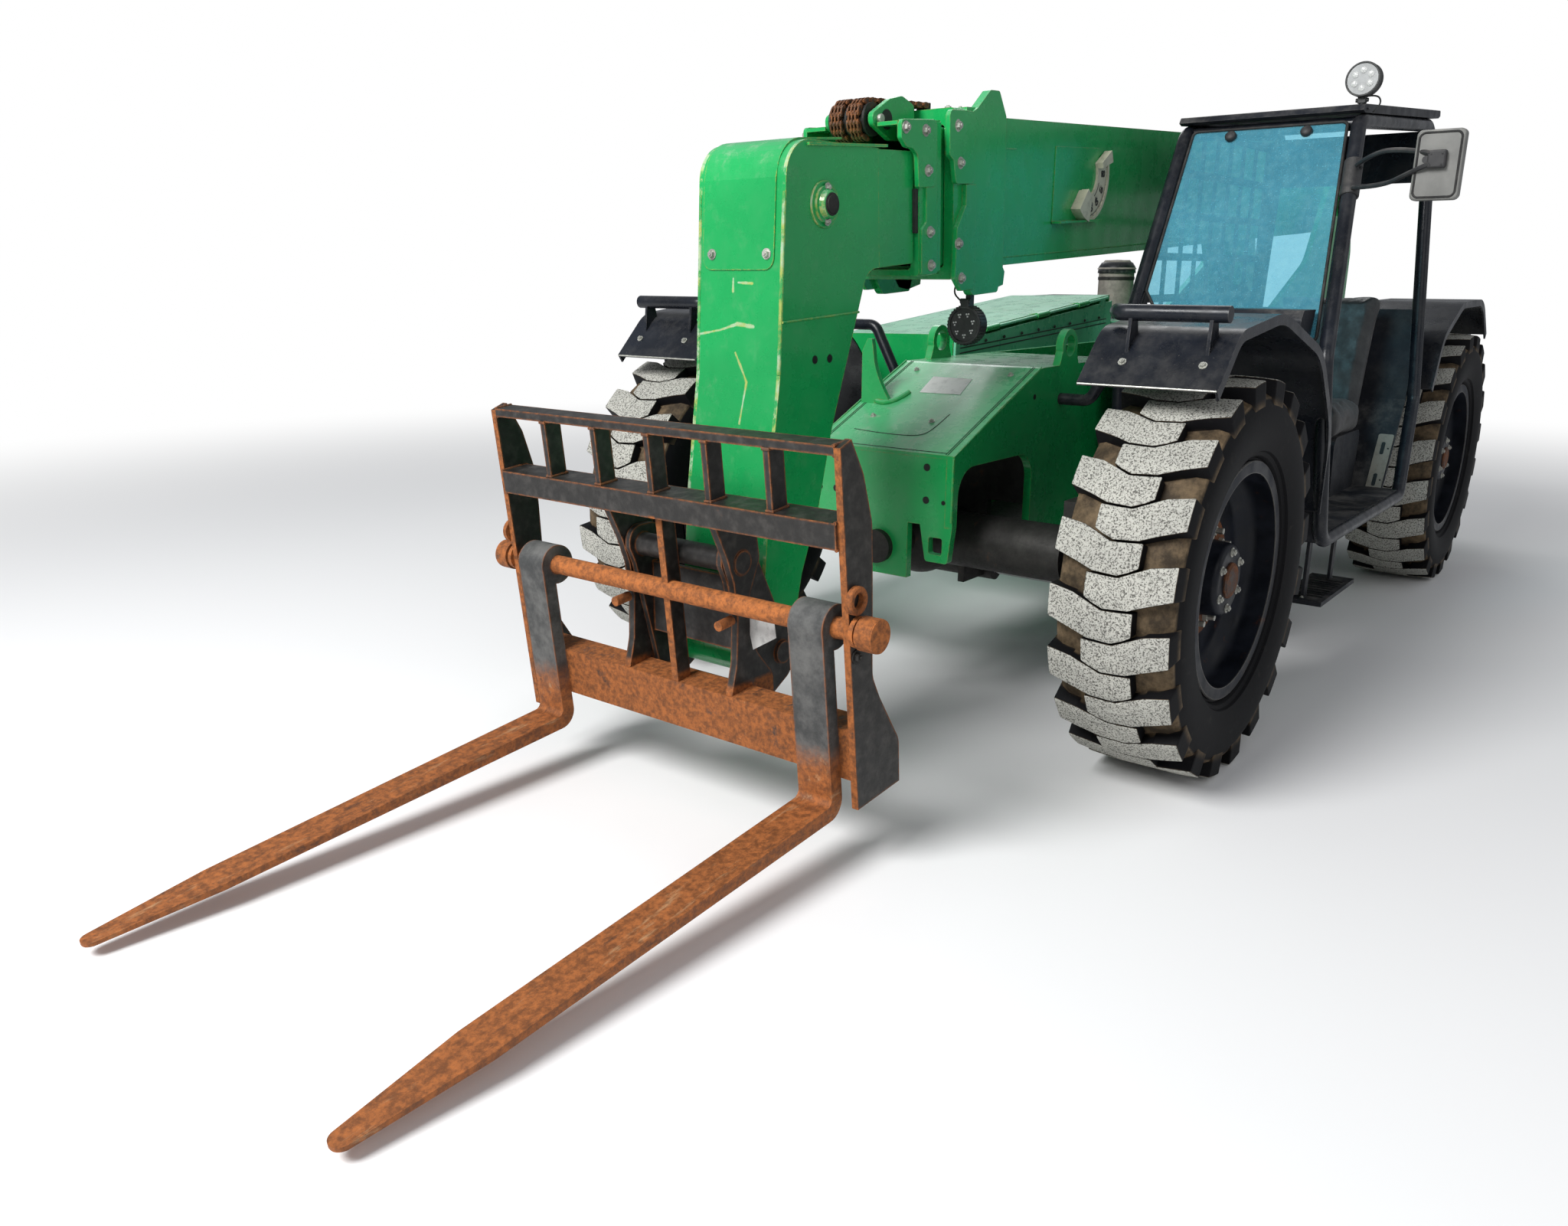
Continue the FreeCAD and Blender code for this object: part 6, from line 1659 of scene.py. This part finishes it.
class TELEHANDLER_OT_mirrors(bpy.types.Operator):
    """Make the mirrors' glass, frames and clamps"""

    bl_idname = "telehandler.mirrors"
    bl_label = "Mirrors"

    def execute(self, context):
        glass, trim = bmesh.new(), bmesh.new()
        for x, y, z, wide, high in ((-0.925, 1.331, 1.815, 0.147, 0.223),
                                    (-0.625, -1.485, 1.630, 0.205, 0.300)):
            loop = plate_loop(y, z, wide, high, 0.012)
            add_plate(glass, [at(x + 0.001, a, b) for a, b in loop], (-0.003, 0, 0))
            add_wire(trim, [at(x - 0.001, a, b) for a, b in loop + loop[:1]], 0.0040)
            frame = plate_loop(y, z, wide, high, 0.010)
            add_wire(trim, [at(x + 0.038, a, b) for a, b in frame + frame[:1]], 0.0045)
        piece("mirror_panes", glass, "chassis", "mirror_glass")
        piece("mirror_frames", trim, "chassis", "rubber_trim", (), True)
        head = bmesh.new()
        add_plate(head, [at(-0.9245, a, b) for a, b in plate_loop(1.331, 1.815, 0.147, 0.223, 0.0)],
                  (0.0395, 0, 0), 0.006)
        piece("mirror_head", head, "chassis", "mirror_back", ("left_mirror",))
        clamp = bmesh.new()
        add_block(clamp, at(-0.886, 1.375, 1.915), at(-0.862, 1.432, 1.972), 0.006)
        add_bar(clamp, at(-0.886, 1.372, 1.943), at(-0.866, 1.372, 1.943), 0.012)
        for y in (1.386, 1.420):
            for z in (1.926, 1.960):
                add_bolt(clamp, at(-0.862, y, z), (1, 0, 0), 0.005)
        add_wire(clamp, [at(-1.155, 1.085, 1.958), at(-1.060, 1.160, 1.992), at(-0.930, 1.290, 1.986),
                         at(-0.868, 1.385, 1.962)], 0.0085, 10, 1.0)
        add_wire(clamp, [at(-1.120, 1.090, 1.880), at(-0.990, 1.220, 1.872), at(-0.872, 1.325, 1.905),
                         at(-0.868, 1.385, 1.930)], 0.0085, 10, 1.0)
        add_bar(clamp, at(-1.1395, 1.0758, 1.848), at(-1.2135, 1.0588, 1.976), 0.0335, sides=32,
                bevel=0.004)
        for z, x in ((1.872, -1.117), (1.950, -1.162)):
            add_bolt(clamp, at(x, 1.098, z), (0.7, 0.7, 0.2), 0.010)
        piece("mirror_arms", clamp, "chassis", "cab_plastic", (), False)
        return {"FINISHED"}


class TELEHANDLER_OT_fender_bolts(bpy.types.Operator):
    """Make the bolts of the fenders, their guards and the entry step, and a pale wire on each fender's
    front lip, rubbed paint with a painted highlight
    """

    bl_idname = "telehandler.fender_bolts"
    bl_label = "Fender bolts"

    def execute(self, context):
        bolts = bmesh.new()
        for side in (1, -1):
            for y in (0.886, 1.126):
                add_bolt(bolts, at(0.340, side * y, 1.330), (0.714, 0, 0.700), 0.016)
            # Pale wire along the fender's front lip: rubbed paint, and a painted highlight on that edge.
            add_wire(bolts, [at(0.400, side * y, 1.266) for y in (0.776, 1.192)], 0.0028)
        piece("guard_bolts_and_lip_highlight", bolts, "chassis", "bolt_zinc")
        step = bmesh.new()
        for x in (-1.520, -1.110):
            add_bolt(step, at(x, 1.095, 0.336), (0, 0, 1), 0.011)
        piece("step_bolts", step, "chassis", "bolt_zinc")
        # Dark bars over the step's slots: painted shade inside them.
        slots = bmesh.new()
        for i in range(9):
            x = -1.470 + i * 0.038
            add_block(slots, at(x, 1.030, 0.3355), at(x + 0.014, 1.160, 0.3375), 0.0)
        piece("step_slot_shade", slots, "chassis", "void")
        return {"FINISHED"}


class TELEHANDLER_OT_cab_details(bpy.types.Operator):
    """Make the slotted plate on the cab's rear wall and its bolts"""

    bl_idname = "telehandler.cab_details"
    bl_label = "Cab details"

    def execute(self, context):
        start, end = Vector((-2.115, 0, 0.612)), Vector((-2.345, 0, 1.020))
        slope = (end - start).normalized()
        out = Vector((-slope.z, 0, slope.x)) * -1.0
        plate, holes, bolts = bmesh.new(), bmesh.new(), bmesh.new()

        def spot(s, y, lift):
            """Point on the cab's sloping rear wall."""
            q = start + slope * s + out * lift
            return at(q.x, y, q.z)

        edge = rounded([(0.005, 1.050, 0.008), (0.290, 1.050, 0.008), (0.290, 1.115, 0.008),
                        (0.005, 1.115, 0.008)], 3)
        add_plate(plate, [spot(s, y, 0.002) for s, y in edge], out * 0.004)
        # Each slot is a dark plate: painted shade inside it.
        for i in range(2):
            low, high = 0.035 + i * 0.155, 0.095 + i * 0.155
            loop = rounded([(low, 1.072, 0.006), (high, 1.072, 0.006), (high, 1.088, 0.006),
                            (low, 1.088, 0.006)], 4)
            add_plate(holes, [spot(s, y, 0.006) for s, y in loop], out * 0.001)
            add_bolt(bolts, spot(0.065 + i * 0.155, 1.103, 0.006), out, 0.005)
        piece("wall_plate", plate, "chassis", "worn_plate")
        piece("wall_plate_slot_shade", holes, "chassis", "void")
        piece("wall_plate_bolts", bolts, "chassis", "dark_steel")
        return {"FINISHED"}


class TELEHANDLER_OT_exhaust_details(bpy.types.Operator):
    """Make the silencer's bands and rain cap"""

    bl_idname = "telehandler.exhaust_details"
    bl_label = "Silencer details"

    def execute(self, context):
        bands = bmesh.new()
        for z in (1.360, 1.540):
            add_ring(bands, at(-3.060, -0.640, z), (0, 0, 1), 0.1035, 0.0985, 0.018, 40)
            add_bolt(bands, at(-2.952, -0.640, z + 0.009), (1, 0, 0), 0.007)
        piece("silencer_bands", bands, "chassis", "dark_steel")
        cap = bmesh.new()
        add_turned(cap, at(-3.060, -0.640, 0), (0, 0, 1),
                   [(0.0, 1.653), (0.050, 1.650), (0.088, 1.636), (0.104, 1.612), (0.108, 1.578),
                    (0.101, 1.578),
                    (0.101, 1.600), (0.0, 1.600)], 40)
        piece("silencer_cap", cap, "chassis", "black_paint", (), True)
        return {"FINISHED"}


# Studio


class TELEHANDLER_OT_studio(bpy.types.Operator):
    """Make the floor, the lights, the world and the camera"""

    bl_idname = "telehandler.studio"
    bl_label = "Studio"

    camera_place = Vector((4.6541, 2.3291, 1.5845))
    camera_yaw = math.radians(38.817)
    camera_pitch = math.radians(16.142)
    lens = 27.047
    lights = (
        ("key", (8.0, -1.0, 6.5), (0.3, 0.2, 0.9), 4.0, 900.0),
        ("fill", (5.0, 6.0, 5.0), (0.3, 0.6, 0.9), 5.0, 60.0),
        ("side", (-2.5, 7.5, 4.5), (-1.0, 0.6, 1.0), 5.0, 40.0),
        ("back", (-7.0, -4.0, 7.0), (-1.0, 0.0, 1.2), 6.0, 200.0),
    )

    def execute(self, context):
        scene = context.scene
        floor = bmesh.new()
        bmesh.ops.create_grid(floor, x_segments=1, y_segments=1, size=60.0)
        mesh = bpy.data.meshes.new("floor")
        floor.to_mesh(mesh)
        floor.free()
        mesh.materials.append(material("floor"))
        ground = bpy.data.objects.new("floor", mesh)
        scene.collection.objects.link(ground)
        for name, place, aim, size, power in self.lights:
            lamp = bpy.data.lights.new(name, "AREA")
            lamp.shape = "DISK"
            lamp.size = size
            lamp.energy = power
            holder = bpy.data.objects.new(name, lamp)
            holder.location = place
            holder.rotation_euler = (Vector(aim) - Vector(place)).to_track_quat("-Z", "Y").to_euler()
            scene.collection.objects.link(holder)
        world = bpy.data.worlds.new("studio")
        world.use_nodes = True
        nodes, links = world.node_tree.nodes, world.node_tree.links
        sky = nodes["Background"]
        sky.inputs["Color"].default_value = (0.92, 0.95, 1.0, 1.0)
        sky.inputs["Strength"].default_value = 0.33
        white = nodes.new("ShaderNodeBackground")
        white.inputs["Color"].default_value = (1.0, 1.0, 1.0, 1.0)
        white.inputs["Strength"].default_value = 1.0
        path = nodes.new("ShaderNodeLightPath")
        blend = nodes.new("ShaderNodeMixShader")
        links.new(path.outputs["Is Camera Ray"], blend.inputs[0])
        links.new(sky.outputs[0], blend.inputs[1])
        links.new(white.outputs[0], blend.inputs[2])
        links.new(blend.outputs[0], nodes["World Output"].inputs["Surface"])
        scene.world = world
        camera = bpy.data.objects.new("camera", bpy.data.cameras.new("camera"))
        camera.data.lens = self.lens
        camera.data.sensor_width = 36.0
        heading = Vector((-math.cos(self.camera_yaw), -math.sin(self.camera_yaw), 0))
        ahead = heading * math.cos(self.camera_pitch) - Vector((0, 0, math.sin(self.camera_pitch)))
        right = heading.cross(Vector((0, 0, 1)))
        up = right.cross(ahead)
        turn = Matrix((right, up, -ahead)).transposed().to_4x4()
        camera.matrix_world = Matrix.Translation(self.camera_place) @ turn
        scene.collection.objects.link(camera)
        scene.camera = camera
        scene.view_settings.view_transform = "Standard"
        return {"FINISHED"}


class TELEHANDLER_PT_finish(bpy.types.Panel):
    """Sidebar panel with the settings and the pieces in their order"""

    bl_idname = "TELEHANDLER_PT_finish"
    bl_label = "Telehandler Finish"
    bl_space_type = "VIEW_3D"
    bl_region_type = "UI"
    bl_category = "Telehandler"

    def draw(self, context):
        settings = context.scene.telehandler
        for name in settings.bl_rna.properties.keys():
            if name not in {"rna_type", "name"}:
                self.layout.prop(settings, name)
        for operator in OPERATORS:
            self.layout.operator(operator.bl_idname)


OPERATORS = (
    TELEHANDLER_OT_paint,
    TELEHANDLER_OT_tyres,
    TELEHANDLER_OT_wheel_details,
    TELEHANDLER_OT_head_details,
    TELEHANDLER_OT_middle_section,
    TELEHANDLER_OT_chains,
    TELEHANDLER_OT_outer_section,
    TELEHANDLER_OT_angle_dial,
    TELEHANDLER_OT_lamps,
    TELEHANDLER_OT_deck,
    TELEHANDLER_OT_hood_trim,
    TELEHANDLER_OT_carriage_details,
    TELEHANDLER_OT_seat,
    TELEHANDLER_OT_windscreen,
    TELEHANDLER_OT_mirrors,
    TELEHANDLER_OT_fender_bolts,
    TELEHANDLER_OT_cab_details,
    TELEHANDLER_OT_exhaust_details,
    TELEHANDLER_OT_studio,
)


def register():
    for entry in (TelehandlerFinish, *OPERATORS, TELEHANDLER_PT_finish):
        bpy.utils.register_class(entry)
    bpy.types.Scene.telehandler = PointerProperty(type=TelehandlerFinish)


def unregister():
    del bpy.types.Scene.telehandler
    for entry in (TELEHANDLER_PT_finish, *reversed(OPERATORS), TelehandlerFinish):
        bpy.utils.unregister_class(entry)


def main():
    register()
    for operator in OPERATORS:
        group, name = operator.bl_idname.split(".")
        if getattr(getattr(bpy.ops, group), name)() != {"FINISHED"}:
            raise RuntimeError(operator.bl_label + " did not finish")


if __name__ == "__main__":
    main()
